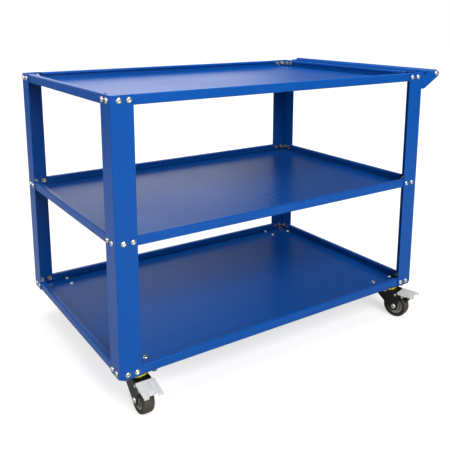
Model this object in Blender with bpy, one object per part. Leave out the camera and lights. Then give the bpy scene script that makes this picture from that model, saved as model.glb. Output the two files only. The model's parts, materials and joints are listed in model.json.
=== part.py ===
"""Three-tier sheet-steel trolley on four braked swivel casters, with a push handle at one end.

Metres, +Z up. +X runs along the trolley towards the handle and +Y runs to the back.
Everything hangs from one root empty, which is moved at the end so that the world
origin is the centre of the footprint, on the floor.
"""

import math

import bmesh
import bpy
from mathutils import Matrix, Vector

MM = 0.001

# Clearances
JOINT_GAP = 0.3 * MM
RUNNING_GAP = 1.0 * MM
WELD_STEP = 0.2 * MM

# Frame
FRAME_LENGTH = 1000 * MM
FRAME_WIDTH = 650 * MM
POST_HEIGHT = 670 * MM
POST_FLANGE = 55 * MM
POST_SHEET = 2.0 * MM
POST_FOLD_RADIUS = 3.5 * MM
POST_FOOT_CUT = 9 * MM

# Trays
TRAY_RIM = 24 * MM
TRAY_SHEET = 1.5 * MM
TRAY_LIP = 13 * MM
TRAY_RETURN = 7 * MM
LIP_END_INSET = 40 * MM
MIDDLE_TRAY_RIM_TOP = 347 * MM

# Frame bolts, M8
BOLT_HOLE_RADIUS = 4.4 * MM
BOLT_INNER = 20 * MM
BOLT_OUTER = 44 * MM
BOLT_DEPTH = 12 * MM

# Handle
TUBE_RADIUS = 11 * MM
TUBE_WALL = 1.5 * MM
HANDLE_REACH = 62 * MM
HANDLE_DROP = 5 * MM
BRACKET_SHEET = 2.0 * MM
BRACKET_END_RADIUS = 13 * MM
BRACKET_DEPTH = 49 * MM
BRACKET_FOOT = 11 * MM
BRACKET_SHOULDER = 17 * MM
BRACKET_SHOULDER_DROP = 6.5 * MM
BRACKET_TOP_DROP = 2 * MM
PLUG_LENGTH = 22 * MM
HANDLE_BOLT_RADIUS = 4.0 * MM
HANDLE_BOLT_HEAD_RADIUS = 7.0 * MM
HANDLE_BOLT_HEAD = 4.4 * MM
HANDLE_BOLT_LENGTH = 16 * MM
SOCKET_RADIUS = 2.9 * MM
SOCKET_DEPTH = 2.6 * MM

# Caster: mounting plate and swivel head
CASTER_HEIGHT = 100 * MM
CASTER_INSET_X = 59 * MM
CASTER_INSET_Y = 40 * MM
PLATE_LENGTH = 95 * MM
PLATE_WIDTH = 66 * MM
PLATE_SHEET = 2.5 * MM
PLATE_CORNER = 7 * MM
PLATE_HOLES_X = 75 * MM
PLATE_HOLES_Y = 47 * MM
CUP_RADIUS = 24 * MM
CUP_DEPTH = 5.5 * MM
RING_RADIUS = 29 * MM
RING_HEIGHT = 3.2 * MM
KINGPIN_RADIUS = 5 * MM
KINGPIN_HEAD_RADIUS = 9 * MM
KINGPIN_HEAD = 4 * MM
KINGPIN_NUT_RADIUS = 8 * MM
KINGPIN_NUT = 3.5 * MM

# Caster: fork
CROWN_RADIUS = 29 * MM
FORK_SHEET = 2.5 * MM
CROWN_SHEET = 3.0 * MM
LEG_GAP = 38 * MM
LEG_REAR = 20 * MM
LEG_FRONT = 30 * MM
CROWN_REACH = 44 * MM
LEG_WAIST_HEIGHT = 66 * MM
EYE_RADIUS = 14 * MM
PIN_BOSS_RADIUS = 7.2 * MM

# Caster: wheel
WHEEL_RADIUS = 37.5 * MM
WHEEL_TRAIL = 35 * MM
TYRE_WIDTH = 31 * MM
TYRE_SEAT_RADIUS = 26 * MM
TYRE_SHOULDER_RADIUS = 33 * MM
TYRE_CROWN_WIDTH = 12 * MM
TYRE_KEY = 1.8 * MM
TYRE_KEY_WIDTH = 10 * MM
HUB_BOSS_RADIUS = 10 * MM
HUB_RIM_INNER_RADIUS = 20.5 * MM
HUB_RIM_WIDTH = 27 * MM
HUB_WEB_WIDTH = 14 * MM
AXLE_RADIUS = 4 * MM
AXLE_HEAD_RADIUS = 8.2 * MM
AXLE_HEAD = 4.5 * MM
AXLE_NUT_FLATS = 13 * MM
AXLE_NUT = 6.5 * MM
AXLE_TIP = 2 * MM

# Caster: brake
PIN_FORWARD = 62 * MM
PIN_HEIGHT = 76 * MM
PIN_RADIUS = 3 * MM
PIN_HEAD_RADIUS = 4.6 * MM
PIN_HEAD = 1.8 * MM
PEDAL_WIDTH = LEG_GAP + 11 * MM
PEDAL_SHEET = 2 * MM
PEDAL_BACK = 16.5 * MM
PEDAL_FRONT = 37 * MM
PEDAL_RISE = 8 * MM
PEDAL_SKIRT = 3 * MM
PEDAL_LIP = 6 * MM
PEDAL_TIP_WIDTH = 12.5 * MM
PEDAL_TIP_REACH = 4 * MM
PEDAL_GROOVE_RADIUS = 1.3 * MM
PEDAL_GROOVES = 3
PEDAL_TAB_SPAN = LEG_GAP - 6 * MM
PEDAL_TAB_RADIUS = 6.4 * MM
PEDAL_TAB_BACK = 9 * MM
PEDAL_TAB_FRONT = 19 * MM
PEDAL_TRAVEL = math.radians(12)
SHOE_WIDTH = 26 * MM
SHOE_THICKNESS = 4.2 * MM
SHOE_START = math.radians(30)
SHOE_END = math.radians(52)
SHOE_GRIP_GAP = 0.5 * MM
SHOE_STEM = 9 * MM

# Direction in which each caster trails, seen from above, in degrees from +X
CASTER_HEADINGS = {
    "front_left": -91.0,
    "front_right": -75.0,
    "rear_left": 0.0,
    "rear_right": 20.0,
}

# Casters whose brake is set, with the pedal tipped down
BRAKES_SET = ("front_left",)

# Segments of round shapes
HOLE_SEGMENTS = 8
SMALL_SEGMENTS = 12
RING_SEGMENTS = 24
TYRE_SEGMENTS = 32
HUB_SEGMENTS = 20

# Derived places
FLOOR_OF_FRAME = CASTER_HEIGHT
FRAME_TOP = FLOOR_OF_FRAME + POST_HEIGHT
TRAY_INSET = POST_SHEET + JOINT_GAP
TRAY_LENGTH = FRAME_LENGTH - 2 * TRAY_INSET
TRAY_WIDTH = FRAME_WIDTH - 2 * TRAY_INSET
TRAY_RIM_TOPS = {
    "bottom": FLOOR_OF_FRAME + TRAY_RIM,
    "middle": FLOOR_OF_FRAME + MIDDLE_TRAY_RIM_TOP,
    "top": FRAME_TOP,
}
PLATE_TOP = CASTER_HEIGHT - JOINT_GAP
PLATE_UNDERSIDE = PLATE_TOP - PLATE_SHEET
CUP_FLOOR = PLATE_UNDERSIDE - CUP_DEPTH
RING_BOTTOM = CUP_FLOOR - JOINT_GAP - RING_HEIGHT
CROWN_TOP = RING_BOTTOM - JOINT_GAP
CROWN_BOTTOM = CROWN_TOP - CROWN_SHEET
LEG_OUTER = LEG_GAP / 2 + FORK_SHEET
HUB_WIDTH = LEG_GAP - 2 * RUNNING_GAP
HUB_RADIUS = TYRE_SEAT_RADIUS - JOINT_GAP

FINISHES = {
    "blue_paint": ((0.006, 0.065, 0.36), 0.38, 0.0),
    "black_paint": ((0.012, 0.012, 0.013), 0.42, 0.0),
    "zinc": ((0.62, 0.62, 0.60), 0.34, 0.9),
    "bright_zinc": ((0.78, 0.78, 0.75), 0.42, 0.6),
    "yellow_plastic": ((0.62, 0.46, 0.02), 0.45, 0.0),
    "grey_plastic": ((0.27, 0.27, 0.26), 0.5, 0.0),
    "rubber": ((0.035, 0.03, 0.026), 0.75, 0.0),
}


def clear_scene():
    """Removes every object of the startup scene."""
    for item in list(bpy.data.objects):
        bpy.data.objects.remove(item, do_unlink=True)


def finish(name):
    """The Principled material of this name, made on first use."""
    found = bpy.data.materials.get(name)
    if found:
        return found
    colour, roughness, metallic = FINISHES[name]
    material = bpy.data.materials.new(name)
    material.use_nodes = True
    shader = material.node_tree.nodes["Principled BSDF"]
    shader.inputs["Base Color"].default_value = (*colour, 1)
    shader.inputs["Roughness"].default_value = roughness
    shader.inputs["Metallic"].default_value = metallic
    material.diffuse_color = (*colour, 1)
    return material


def empty(name, parent=None, place=(0, 0, 0), turn=(0, 0, 0)):
    """An empty that carries a group of pieces."""
    item = bpy.data.objects.new(name, None)
    bpy.context.collection.objects.link(item)
    item.parent = parent
    item.location = place
    item.rotation_euler = turn
    return item


def mesh_from(shape, name, smooth_angle=None):
    """Turns a bmesh into a mesh whose faces point outwards."""
    bmesh.ops.recalc_face_normals(shape, faces=shape.faces)
    mesh = bpy.data.meshes.new(name)
    shape.to_mesh(mesh)
    shape.free()
    if smooth_angle is not None:
        mesh.shade_smooth()
        mesh.set_sharp_from_angle(angle=smooth_angle)
    return mesh


def add_object(name, mesh, material, parent, place=(0, 0, 0), turn=(0, 0, 0)):
    """Links a mesh as a named object with its own material slot."""
    item = bpy.data.objects.new(name, mesh)
    bpy.context.collection.objects.link(item)
    if not mesh.materials:
        mesh.materials.append(finish(material))
    item.parent = parent
    item.location = place
    item.rotation_euler = turn
    return item


def add_modifier_boolean(item, other, operation):
    """Adds an exact Boolean with a hidden helper object."""
    modifier = item.modifiers.new(operation.title(), "BOOLEAN")
    modifier.operation = operation
    modifier.solver = "EXACT"
    modifier.object = other
    other.hide_render = True
    other.display_type = "WIRE"
    return modifier


def cut(item, shape, parent, place=(0, 0, 0), turn=(0, 0, 0)):
    """Cuts a bmesh out of an object. The cutter moves with the same parent."""
    cutter = bpy.data.objects.new(item.name + "_cutter", mesh_from(shape, item.name + "_cutter"))
    bpy.context.collection.objects.link(cutter)
    cutter.parent = parent
    cutter.location = place
    cutter.rotation_euler = turn
    add_modifier_boolean(item, cutter, "DIFFERENCE")


def add_block(shape, low, high):
    """Adds a box between two corners to a bmesh."""
    size = Vector(high) - Vector(low)
    middle = (Vector(high) + Vector(low)) / 2
    bmesh.ops.create_cube(shape, size=1, matrix=Matrix.Translation(middle) @ Matrix.Diagonal((*size, 1)))


def add_rod(shape, start, end, radius, segments=HOLE_SEGMENTS):
    """Adds a cylinder between two points to a bmesh."""
    start, end = Vector(start), Vector(end)
    turn = (end - start).to_track_quat("Z", "Y").to_matrix().to_4x4()
    bmesh.ops.create_cone(
        shape,
        cap_ends=True,
        segments=segments,
        radius1=radius,
        radius2=radius,
        depth=(end - start).length,
        matrix=Matrix.Translation((start + end) / 2) @ turn,
    )


def add_prism(shape, outline, low, high, axis):
    """Adds an outline, given in the two axes other than `axis`, stretched from low to high."""
    order = {"x": (1, 2), "y": (0, 2), "z": (0, 1)}[axis]
    along = "xyz".index(axis)
    ends = []
    for level in (low, high):
        ring = []
        for first, second in outline:
            point = [0.0, 0.0, 0.0]
            point[order[0]] = first
            point[order[1]] = second
            point[along] = level
            ring.append(shape.verts.new(point))
        ends.append(ring)
    join_rings(shape, ends[0], ends[1])


def join_rings(shape, first, last):
    """Closes a tube between two rings of vertices, with a flat cap at each end."""
    shape.faces.new(first)
    shape.faces.new(reversed(last))
    for i in range(len(first)):
        following = (i + 1) % len(first)
        shape.faces.new((first[i], first[following], last[following], last[i]))


def add_turned(shape, profile, segments, axis="z", centre=(0, 0, 0)):
    """Adds the ring or disc that a closed profile of (radius, height) makes around an axis."""
    centre = Vector(centre)
    columns = []
    for step in range(segments):
        angle = 2 * math.pi * step / segments
        column = []
        for radius, height in profile:
            side, up = radius * math.cos(angle), radius * math.sin(angle)
            point = (side, up, height) if axis == "z" else (side, height, up)
            column.append(None if radius == 0 else shape.verts.new(centre + Vector(point)))
        columns.append(column)
    poles = {}
    for i, (radius, height) in enumerate(profile):
        if radius == 0:
            point = (0, 0, height) if axis == "z" else (0, height, 0)
            poles[i] = shape.verts.new(centre + Vector(point))
    count = len(profile)
    for step in range(segments):
        here, there = columns[step], columns[(step + 1) % segments]
        for i in range(count):
            k = (i + 1) % count
            corners = []
            for column, index in ((here, i), (here, k), (there, k), (there, i)):
                corner = poles[index] if index in poles else column[index]
                if corner not in corners:
                    corners.append(corner)
            if len(corners) > 2:
                shape.faces.new(corners)


def arc(centre, radius, start, end, steps):
    """Points along an arc, both ends included. Angles are in radians."""
    points = []
    for step in range(steps + 1):
        angle = start + (end - start) * step / steps
        points.append((centre[0] + radius * math.cos(angle), centre[1] + radius * math.sin(angle)))
    return points


def rounded_rectangle(length, width, radius, steps=3):
    """Outline of a centred rectangle with round corners."""
    outline = []
    half_x, half_y = length / 2 - radius, width / 2 - radius
    for quarter, (sx, sy) in enumerate(((1, 1), (-1, 1), (-1, -1), (1, -1))):
        start = quarter * math.pi / 2
        outline += arc((sx * half_x, sy * half_y), radius, start, start + math.pi / 2, steps)
    return outline


def tangent_angle(point, centre, radius, side):
    """The angle at which a line from a point touches a circle. `side` is +1 or -1."""
    away = Vector(point) - Vector(centre)
    return math.atan2(away.y, away.x) + side * math.acos(radius / away.length)


# Frame ------------------------------------------------------------------------------------


def bolt_offsets():
    """Distances of the two bolts in a flange from the outer corner of the frame."""
    return (BOLT_INNER, BOLT_OUTER)


def corner_signs():
    """Corner name and the direction from that corner towards the middle of the trolley."""
    return {
        "front_left": (1, 1),
        "front_right": (-1, 1),
        "rear_left": (1, -1),
        "rear_right": (-1, -1),
    }


def corner_place(name):
    """Outer corner of the frame, seen from above."""
    inward = corner_signs()[name]
    return (0 if inward[0] > 0 else FRAME_LENGTH, 0 if inward[1] > 0 else FRAME_WIDTH)


def bolt_heights():
    """Height of each tray's row of bolts."""
    return [top - BOLT_DEPTH for top in TRAY_RIM_TOPS.values()]


def corner_bolt_holes(corner, heights, reach):
    """Rods through both flanges of a corner at each height, wherever the bolts go."""
    shape = bmesh.new()
    x, y = corner_place(corner)
    inward_x, inward_y = corner_signs()[corner]
    for height in heights:
        for offset in bolt_offsets():
            along_x, along_y = x + inward_x * offset, y + inward_y * offset
            add_rod(shape, (along_x, y - reach, height), (along_x, y + reach, height), BOLT_HOLE_RADIUS)
            add_rod(shape, (x - reach, along_y, height), (x + reach, along_y, height), BOLT_HOLE_RADIUS)
    return shape


def angle_outline(flange, sheet, fold_radius):
    """Section of a folded angle whose outer corner is at the origin."""
    inner_radius = fold_radius - sheet
    outline = [(flange, 0), (flange, sheet)]
    outline += arc((fold_radius, fold_radius), inner_radius, math.radians(270), math.radians(180), 3)
    outline += [(sheet, flange), (0, flange)]
    outline += arc((fold_radius, fold_radius), fold_radius, math.radians(180), math.radians(270), 5)
    return outline


def build_post(corner, root):
    """A corner post: a folded angle with its foot corner trimmed and all its bolt holes."""
    x, y = corner_place(corner)
    inward_x, inward_y = corner_signs()[corner]
    section = angle_outline(POST_FLANGE, POST_SHEET, POST_FOLD_RADIUS)
    outline = [(inward_x * a, inward_y * b) for a, b in section]
    shape = bmesh.new()
    add_prism(shape, outline, FLOOR_OF_FRAME, FRAME_TOP, "z")
    mesh = mesh_from(shape, f"post_{corner}", math.radians(30))
    post = add_object(f"post_{corner}", mesh, "blue_paint", root, (x, y, 0))
    cut(post, foot_trim(corner), root)
    cut(post, corner_bolt_holes(corner, bolt_heights(), POST_FLANGE / 4), root)
    return post


def foot_trim(corner):
    """A corner-shaped wedge that takes the folded bottom corner off a post."""
    x, y = corner_place(corner)
    inward_x, inward_y = corner_signs()[corner]
    margin = POST_FLANGE / 5
    reach = POST_FOOT_CUT + 2 * margin
    apex = Vector((x - inward_x * margin, y - inward_y * margin, FLOOR_OF_FRAME - margin))
    shape = bmesh.new()
    corners = [
        shape.verts.new(apex),
        shape.verts.new(apex + Vector((inward_x * (reach + margin), 0, 0))),
        shape.verts.new(apex + Vector((0, inward_y * (reach + margin), 0))),
        shape.verts.new(apex + Vector((0, 0, reach + margin))),
    ]
    for trio in ((0, 1, 2), (0, 1, 3), (0, 2, 3), (1, 2, 3)):
        shape.faces.new([corners[i] for i in trio])
    return shape


def build_tray(level, root):
    """A pan folded from one sheet: floor, four walls, and lips that turn in and down."""
    top = TRAY_RIM_TOPS[level]
    low = top - TRAY_RIM
    middle = (FRAME_LENGTH / 2, FRAME_WIDTH / 2, 0)
    corner_radius = POST_FOLD_RADIUS
    shape = bmesh.new()
    add_prism(shape, rounded_rectangle(TRAY_LENGTH, TRAY_WIDTH, corner_radius), low, top, "z")
    tray = add_object(f"tray_{level}", mesh_from(shape, f"tray_{level}"), "blue_paint", root, middle)
    hollow = bmesh.new()
    wall = TRAY_SHEET
    outline = rounded_rectangle(TRAY_LENGTH - 2 * wall, TRAY_WIDTH - 2 * wall, corner_radius - wall)
    add_prism(hollow, outline, low + wall, top + TRAY_RIM, "z")
    cut(tray, hollow, root, middle)
    for side, shape in enumerate(tray_lips()):
        lip = add_object(f"tray_{level}_lip_{side}", mesh_from(shape, "lip"), "blue_paint", root, (0, 0, top))
        add_modifier_boolean(tray, lip, "UNION")
    for corner in corner_signs():
        cut(tray, corner_bolt_holes(corner, [top - BOLT_DEPTH], BOLT_DEPTH), root)
    if level == "bottom":
        cut(tray, caster_bolt_holes(), root)
    return tray


def tray_lips():
    """The four lips of a tray, each with its downward return, hanging from height 0."""
    seat = TRAY_SHEET / 2
    section = [
        (seat, 0),
        (TRAY_LIP, 0),
        (TRAY_LIP, -TRAY_RETURN),
        (TRAY_LIP - TRAY_SHEET, -TRAY_RETURN),
        (TRAY_LIP - TRAY_SHEET, -TRAY_SHEET),
        (seat, -TRAY_SHEET),
    ]
    shapes = []
    for along_x in (True, False):
        length, across = (TRAY_LENGTH, TRAY_WIDTH) if along_x else (TRAY_WIDTH, TRAY_LENGTH)
        for far_side in (False, True):
            shape = bmesh.new()
            add_lip(shape, section, length, across, along_x, far_side)
            shapes.append(shape)
    return shapes


def add_lip(shape, section, length, across, along_x, far_side):
    """Adds one lip whose ends are cut back at 45 degrees, so the corner bolts stay in reach."""
    ends = []
    for at_end in (False, True):
        ring = []
        for depth, height in section:
            along = LIP_END_INSET + depth
            along = length - along if at_end else along
            inward = across - depth if far_side else depth
            x, y = (along, inward) if along_x else (inward, along)
            ring.append(shape.verts.new((x + TRAY_INSET, y + TRAY_INSET, height)))
        ends.append(ring)
    join_rings(shape, ends[0], ends[1])


# Handle -----------------------------------------------------------------------------------


def gusset_outline():
    """Side view of a handle bracket's plate: x from the post's end face, z from the frame top."""
    centre = (HANDLE_REACH, -HANDLE_DROP)
    shoulder = (BRACKET_SHOULDER, -BRACKET_SHOULDER_DROP)
    foot = (BRACKET_FOOT, -BRACKET_DEPTH)
    upper = tangent_angle(shoulder, centre, BRACKET_END_RADIUS, -1)
    lower = tangent_angle(foot, centre, BRACKET_END_RADIUS, 1) - 2 * math.pi
    while lower > upper:
        lower -= 2 * math.pi
    outline = [(0, shoulder[1]), shoulder]
    outline += arc(centre, BRACKET_END_RADIUS, upper, lower, 16)
    outline += [foot, (0, foot[1])]
    return outline


def build_handle_bracket(side, root):
    """A bent bracket: a flange bolted to the post's end face and a plate out to the tube."""
    front = side == "front"
    y = 0 if front else FRAME_WIDTH
    inward = 1 if front else -1
    face = FRAME_LENGTH + JOINT_GAP
    shape = bmesh.new()
    outline = [(face + a, FRAME_TOP + b) for a, b in gusset_outline()]
    add_prism(shape, outline, min(y, y + inward * BRACKET_SHEET), max(y, y + inward * BRACKET_SHEET), "y")
    name = f"handle_bracket_{side}"
    bracket = add_object(name, mesh_from(shape, name, math.radians(30)), "blue_paint", root)
    flange = bmesh.new()
    ends = sorted((y, y + inward * POST_FLANGE))
    low = (face, ends[0], FRAME_TOP - BRACKET_DEPTH)
    high = (face + BRACKET_SHEET, ends[1], FRAME_TOP - BRACKET_TOP_DROP)
    add_block(flange, low, high)
    helper = add_object(name + "_flange", mesh_from(flange, "flange"), "blue_paint", root)
    add_modifier_boolean(bracket, helper, "UNION")
    holes = bmesh.new()
    for offset in bolt_offsets():
        along = y + inward * offset
        height = FRAME_TOP - BOLT_DEPTH
        add_rod(holes, (face - POST_FLANGE / 4, along, height), (face + POST_FLANGE / 4, along, height), BOLT_HOLE_RADIUS)
    x, z = tube_axis()
    add_rod(holes, (x, y - BRACKET_DEPTH / 4, z), (x, y + BRACKET_DEPTH / 4, z), BOLT_HOLE_RADIUS)
    cut(bracket, holes, root)
    return bracket


def tube_axis():
    """Centre of the handle tube, in x and z."""
    return (FRAME_LENGTH + JOINT_GAP + HANDLE_REACH, FRAME_TOP - HANDLE_DROP)


def build_handle(root):
    """The tube, the two threaded plugs in its ends and the bolts that hold them."""
    x, z = tube_axis()
    start = BRACKET_SHEET + JOINT_GAP
    end = FRAME_WIDTH - start
    bore = TUBE_RADIUS - TUBE_WALL
    shape = bmesh.new()
    profile = [(bore, start), (TUBE_RADIUS, start), (TUBE_RADIUS, end), (bore, end)]
    add_turned(shape, profile, RING_SEGMENTS, "y")
    add_object("handle_tube", mesh_from(shape, "handle_tube", math.radians(40)), "blue_paint", root, (x, 0, z))
    plug_radius = bore - JOINT_GAP
    thread = HANDLE_BOLT_RADIUS + JOINT_GAP
    for side in ("front", "rear"):
        face = 0 if side == "front" else FRAME_WIDTH
        inward = 1 if side == "front" else -1
        plug = bmesh.new()
        profile = [(thread, 0), (plug_radius, 0), (plug_radius, PLUG_LENGTH), (thread, PLUG_LENGTH)]
        add_turned(plug, profile, SMALL_SEGMENTS, "y")
        mesh = mesh_from(plug, f"tube_plug_{side}", math.radians(40))
        turn = (0, 0, 0 if inward > 0 else math.pi)
        add_object(f"tube_plug_{side}", mesh, "zinc", root, (x, face + inward * start, z), turn)
        bolt = handle_bolt_mesh(f"handle_bolt_{side}")
        add_object(f"handle_bolt_{side}", bolt, "zinc", root, (x, face - inward * JOINT_GAP, z), turn)


def handle_bolt_mesh(name):
    """A button-head socket bolt whose seat is at y = 0 and whose shank runs along +Y."""
    head, radius = HANDLE_BOLT_HEAD, HANDLE_BOLT_HEAD_RADIUS
    profile = [
        (0, SOCKET_DEPTH - head),
        (SOCKET_RADIUS, SOCKET_DEPTH - head),
        (SOCKET_RADIUS, -head),
        (radius * 0.55, -head),
        (radius * 0.88, -head * 0.66),
        (radius, -head * 0.2),
        (radius, 0),
        (HANDLE_BOLT_RADIUS, 0),
        (HANDLE_BOLT_RADIUS, HANDLE_BOLT_LENGTH),
        (0, HANDLE_BOLT_LENGTH),
    ]
    shape = bmesh.new()
    add_turned(shape, profile, SMALL_SEGMENTS, "y")
    return mesh_from(shape, name, math.radians(40))


# Casters ----------------------------------------------------------------------------------


def caster_axis(corner):
    """Swivel axis of a caster, seen from above."""
    x, y = corner_place(corner)
    inward_x, inward_y = corner_signs()[corner]
    return (x + inward_x * CASTER_INSET_X, y + inward_y * CASTER_INSET_Y)


def plate_hole_offsets():
    """The four bolt places of a mounting plate around its swivel axis."""
    half_x, half_y = PLATE_HOLES_X / 2, PLATE_HOLES_Y / 2
    return [(sx * half_x, sy * half_y) for sx in (-1, 1) for sy in (-1, 1)]


def caster_bolt_holes():
    """Rods through the bottom tray at every caster bolt."""
    shape = bmesh.new()
    for corner in corner_signs():
        x, y = caster_axis(corner)
        for dx, dy in plate_hole_offsets():
            low = (x + dx, y + dy, FLOOR_OF_FRAME - TRAY_RIM / 4)
            high = (x + dx, y + dy, FLOOR_OF_FRAME + TRAY_RIM / 4)
            add_rod(shape, low, high, BOLT_HOLE_RADIUS)
    return shape


def build_mount_plate(corner, place, root):
    """The bolted plate with the pressed cup that holds the swivel balls."""
    name = f"mount_plate_{corner}"
    shape = bmesh.new()
    add_prism(shape, rounded_rectangle(PLATE_LENGTH, PLATE_WIDTH, PLATE_CORNER), PLATE_UNDERSIDE, PLATE_TOP, "z")
    plate = add_object(name, mesh_from(shape, name), "black_paint", root, (*place, 0))
    cup = bmesh.new()
    add_rod(cup, (0, 0, CUP_FLOOR), (0, 0, PLATE_TOP - PLATE_SHEET / 2), CUP_RADIUS, RING_SEGMENTS)
    helper = add_object(name + "_cup", mesh_from(cup, "cup"), "black_paint", root, (*place, 0))
    add_modifier_boolean(plate, helper, "UNION")
    hollow = bmesh.new()
    floor = CUP_FLOOR + PLATE_SHEET
    add_rod(hollow, (0, 0, floor), (0, 0, PLATE_TOP + CUP_DEPTH), CUP_RADIUS - PLATE_SHEET, RING_SEGMENTS)
    cut(plate, hollow, root, (*place, 0))
    holes = bmesh.new()
    bore = KINGPIN_RADIUS + JOINT_GAP
    add_rod(holes, (0, 0, CUP_FLOOR - CUP_DEPTH), (0, 0, PLATE_TOP), bore, SMALL_SEGMENTS)
    for dx, dy in plate_hole_offsets():
        low = (dx, dy, PLATE_UNDERSIDE - PLATE_SHEET)
        add_rod(holes, low, (dx, dy, PLATE_TOP + PLATE_SHEET), BOLT_HOLE_RADIUS)
    cut(plate, holes, root, (*place, 0))


def kingpin_mesh():
    """The bolt that joins plate and fork, with its lock nut, in caster coordinates."""
    seat = CUP_FLOOR + PLATE_SHEET + JOINT_GAP
    nut_top = CROWN_BOTTOM - JOINT_GAP
    nut_bottom = nut_top - KINGPIN_NUT
    profile = [
        (0, nut_bottom),
        (KINGPIN_NUT_RADIUS, nut_bottom),
        (KINGPIN_NUT_RADIUS, nut_top),
        (KINGPIN_RADIUS, nut_top),
        (KINGPIN_RADIUS, seat),
        (KINGPIN_HEAD_RADIUS, seat),
        (KINGPIN_HEAD_RADIUS, seat + KINGPIN_HEAD),
        (0, seat + KINGPIN_HEAD),
    ]
    shape = bmesh.new()
    add_turned(shape, profile, SMALL_SEGMENTS)
    return mesh_from(shape, "kingpin", math.radians(40))


def dust_ring_mesh():
    """The ring that closes the ball race."""
    low, high = RING_BOTTOM, RING_BOTTOM + RING_HEIGHT
    chamfer = RING_HEIGHT / 4
    bore = KINGPIN_RADIUS + RUNNING_GAP
    profile = [
        (bore, low),
        (RING_RADIUS - chamfer, low),
        (RING_RADIUS, low + chamfer),
        (RING_RADIUS, high - chamfer),
        (RING_RADIUS - chamfer, high),
        (bore, high),
    ]
    shape = bmesh.new()
    add_turned(shape, profile, RING_SEGMENTS)
    return mesh_from(shape, "dust_ring", math.radians(50))


def leg_outline():
    """Side view of a fork leg: from the crown down to the axle eye, and out to the brake pin."""
    axle = (WHEEL_TRAIL, WHEEL_RADIUS)
    pin = (PIN_FORWARD, PIN_HEIGHT)
    waist = (-LEG_REAR, LEG_WAIST_HEIGHT)
    touch = tangent_angle(waist, axle, EYE_RADIUS, 1)
    neck = (axle[0] + EYE_RADIUS, (axle[1] + pin[1]) / 2)
    lower = tangent_angle(neck, pin, PIN_BOSS_RADIUS, 1)
    outline = [(-LEG_REAR, CROWN_TOP - CROWN_SHEET / 2), waist]
    outline += arc(axle, EYE_RADIUS, touch - 2 * math.pi if touch > 0 else touch, 0, 8)
    outline.append(neck)
    outline += arc(pin, PIN_BOSS_RADIUS, lower - 2 * math.pi if lower > 0 else lower, math.pi / 2, 8)
    outline += [(LEG_FRONT, pin[1] + PIN_BOSS_RADIUS), (LEG_FRONT, CROWN_TOP - CROWN_SHEET / 2)]
    return outline


def build_fork(corner, swivel):
    """The pressed fork: crown disc with a tongue, and two legs, bored for kingpin, axle and pin."""
    name = f"swivel_fork_{corner}"
    shape = bmesh.new()
    add_rod(shape, (0, 0, CROWN_BOTTOM), (0, 0, CROWN_TOP), CROWN_RADIUS, RING_SEGMENTS)
    fork = add_object(name, mesh_from(shape, name, math.radians(35)), "black_paint", swivel)
    web = bmesh.new()
    half = LEG_OUTER - WELD_STEP
    low = (WELD_STEP - LEG_REAR, -half, CROWN_BOTTOM + WELD_STEP)
    add_block(web, low, (CROWN_REACH, half, CROWN_TOP - WELD_STEP))
    helper = add_object(name + "_web", mesh_from(web, "web"), "black_paint", swivel)
    add_modifier_boolean(fork, helper, "UNION")
    for side in (-1, 1):
        leg = bmesh.new()
        ends = sorted((side * LEG_GAP / 2, side * LEG_OUTER))
        add_prism(leg, leg_outline(), ends[0], ends[1], "y")
        helper = add_object(f"{name}_leg_{side}", mesh_from(leg, "leg"), "black_paint", swivel)
        add_modifier_boolean(fork, helper, "UNION")
    holes = bmesh.new()
    bore = KINGPIN_RADIUS + JOINT_GAP
    add_rod(holes, (0, 0, CROWN_BOTTOM - CROWN_SHEET), (0, 0, CROWN_TOP + CROWN_SHEET), bore, SMALL_SEGMENTS)
    for x, z, radius in ((WHEEL_TRAIL, WHEEL_RADIUS, AXLE_RADIUS), (PIN_FORWARD, PIN_HEIGHT, PIN_RADIUS)):
        add_rod(holes, (x, -LEG_GAP, z), (x, LEG_GAP, z), radius + JOINT_GAP, SMALL_SEGMENTS)
    cut(fork, holes, swivel)


def tyre_mesh():
    """The rubber tyre, around the wheel's own axis, keyed to the hub by an inner groove."""
    half, seat = TYRE_WIDTH / 2, TYRE_SEAT_RADIUS
    key = TYRE_KEY_WIDTH / 2 + JOINT_GAP
    crown = TYRE_CROWN_WIDTH / 2
    shoulder = [
        (seat, -half),
        (TYRE_SHOULDER_RADIUS, -half),
        ((TYRE_SHOULDER_RADIUS + WHEEL_RADIUS) / 2 + MM, -(half + crown) / 2 - MM),
        (WHEEL_RADIUS, -crown),
    ]
    groove = [(seat, key), (seat + TYRE_KEY, key), (seat + TYRE_KEY, -key), (seat, -key)]
    profile = shoulder + [(r, -y) for r, y in reversed(shoulder)] + groove
    shape = bmesh.new()
    add_turned(shape, profile, TYRE_SEGMENTS, "y")
    return mesh_from(shape, "tyre", math.radians(35))


def hub_mesh():
    """The plastic hub: rim, thin web and long boss, around the wheel's own axis."""
    half_boss, half_rim, half_web = HUB_WIDTH / 2, HUB_RIM_WIDTH / 2, HUB_WEB_WIDTH / 2
    key = TYRE_KEY_WIDTH / 2
    bore = AXLE_RADIUS + JOINT_GAP
    side = [
        (bore, -half_boss),
        (HUB_BOSS_RADIUS, -half_boss),
        (HUB_BOSS_RADIUS, -half_web),
        (HUB_RIM_INNER_RADIUS, -half_web),
        (HUB_RIM_INNER_RADIUS, -half_rim),
        (HUB_RADIUS, -half_rim),
        (HUB_RADIUS, -key),
        (HUB_RADIUS + TYRE_KEY, -key),
    ]
    profile = side + [(r, -y) for r, y in reversed(side)]
    shape = bmesh.new()
    add_turned(shape, profile, HUB_SEGMENTS, "y")
    return mesh_from(shape, "hub", math.radians(35))


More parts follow.
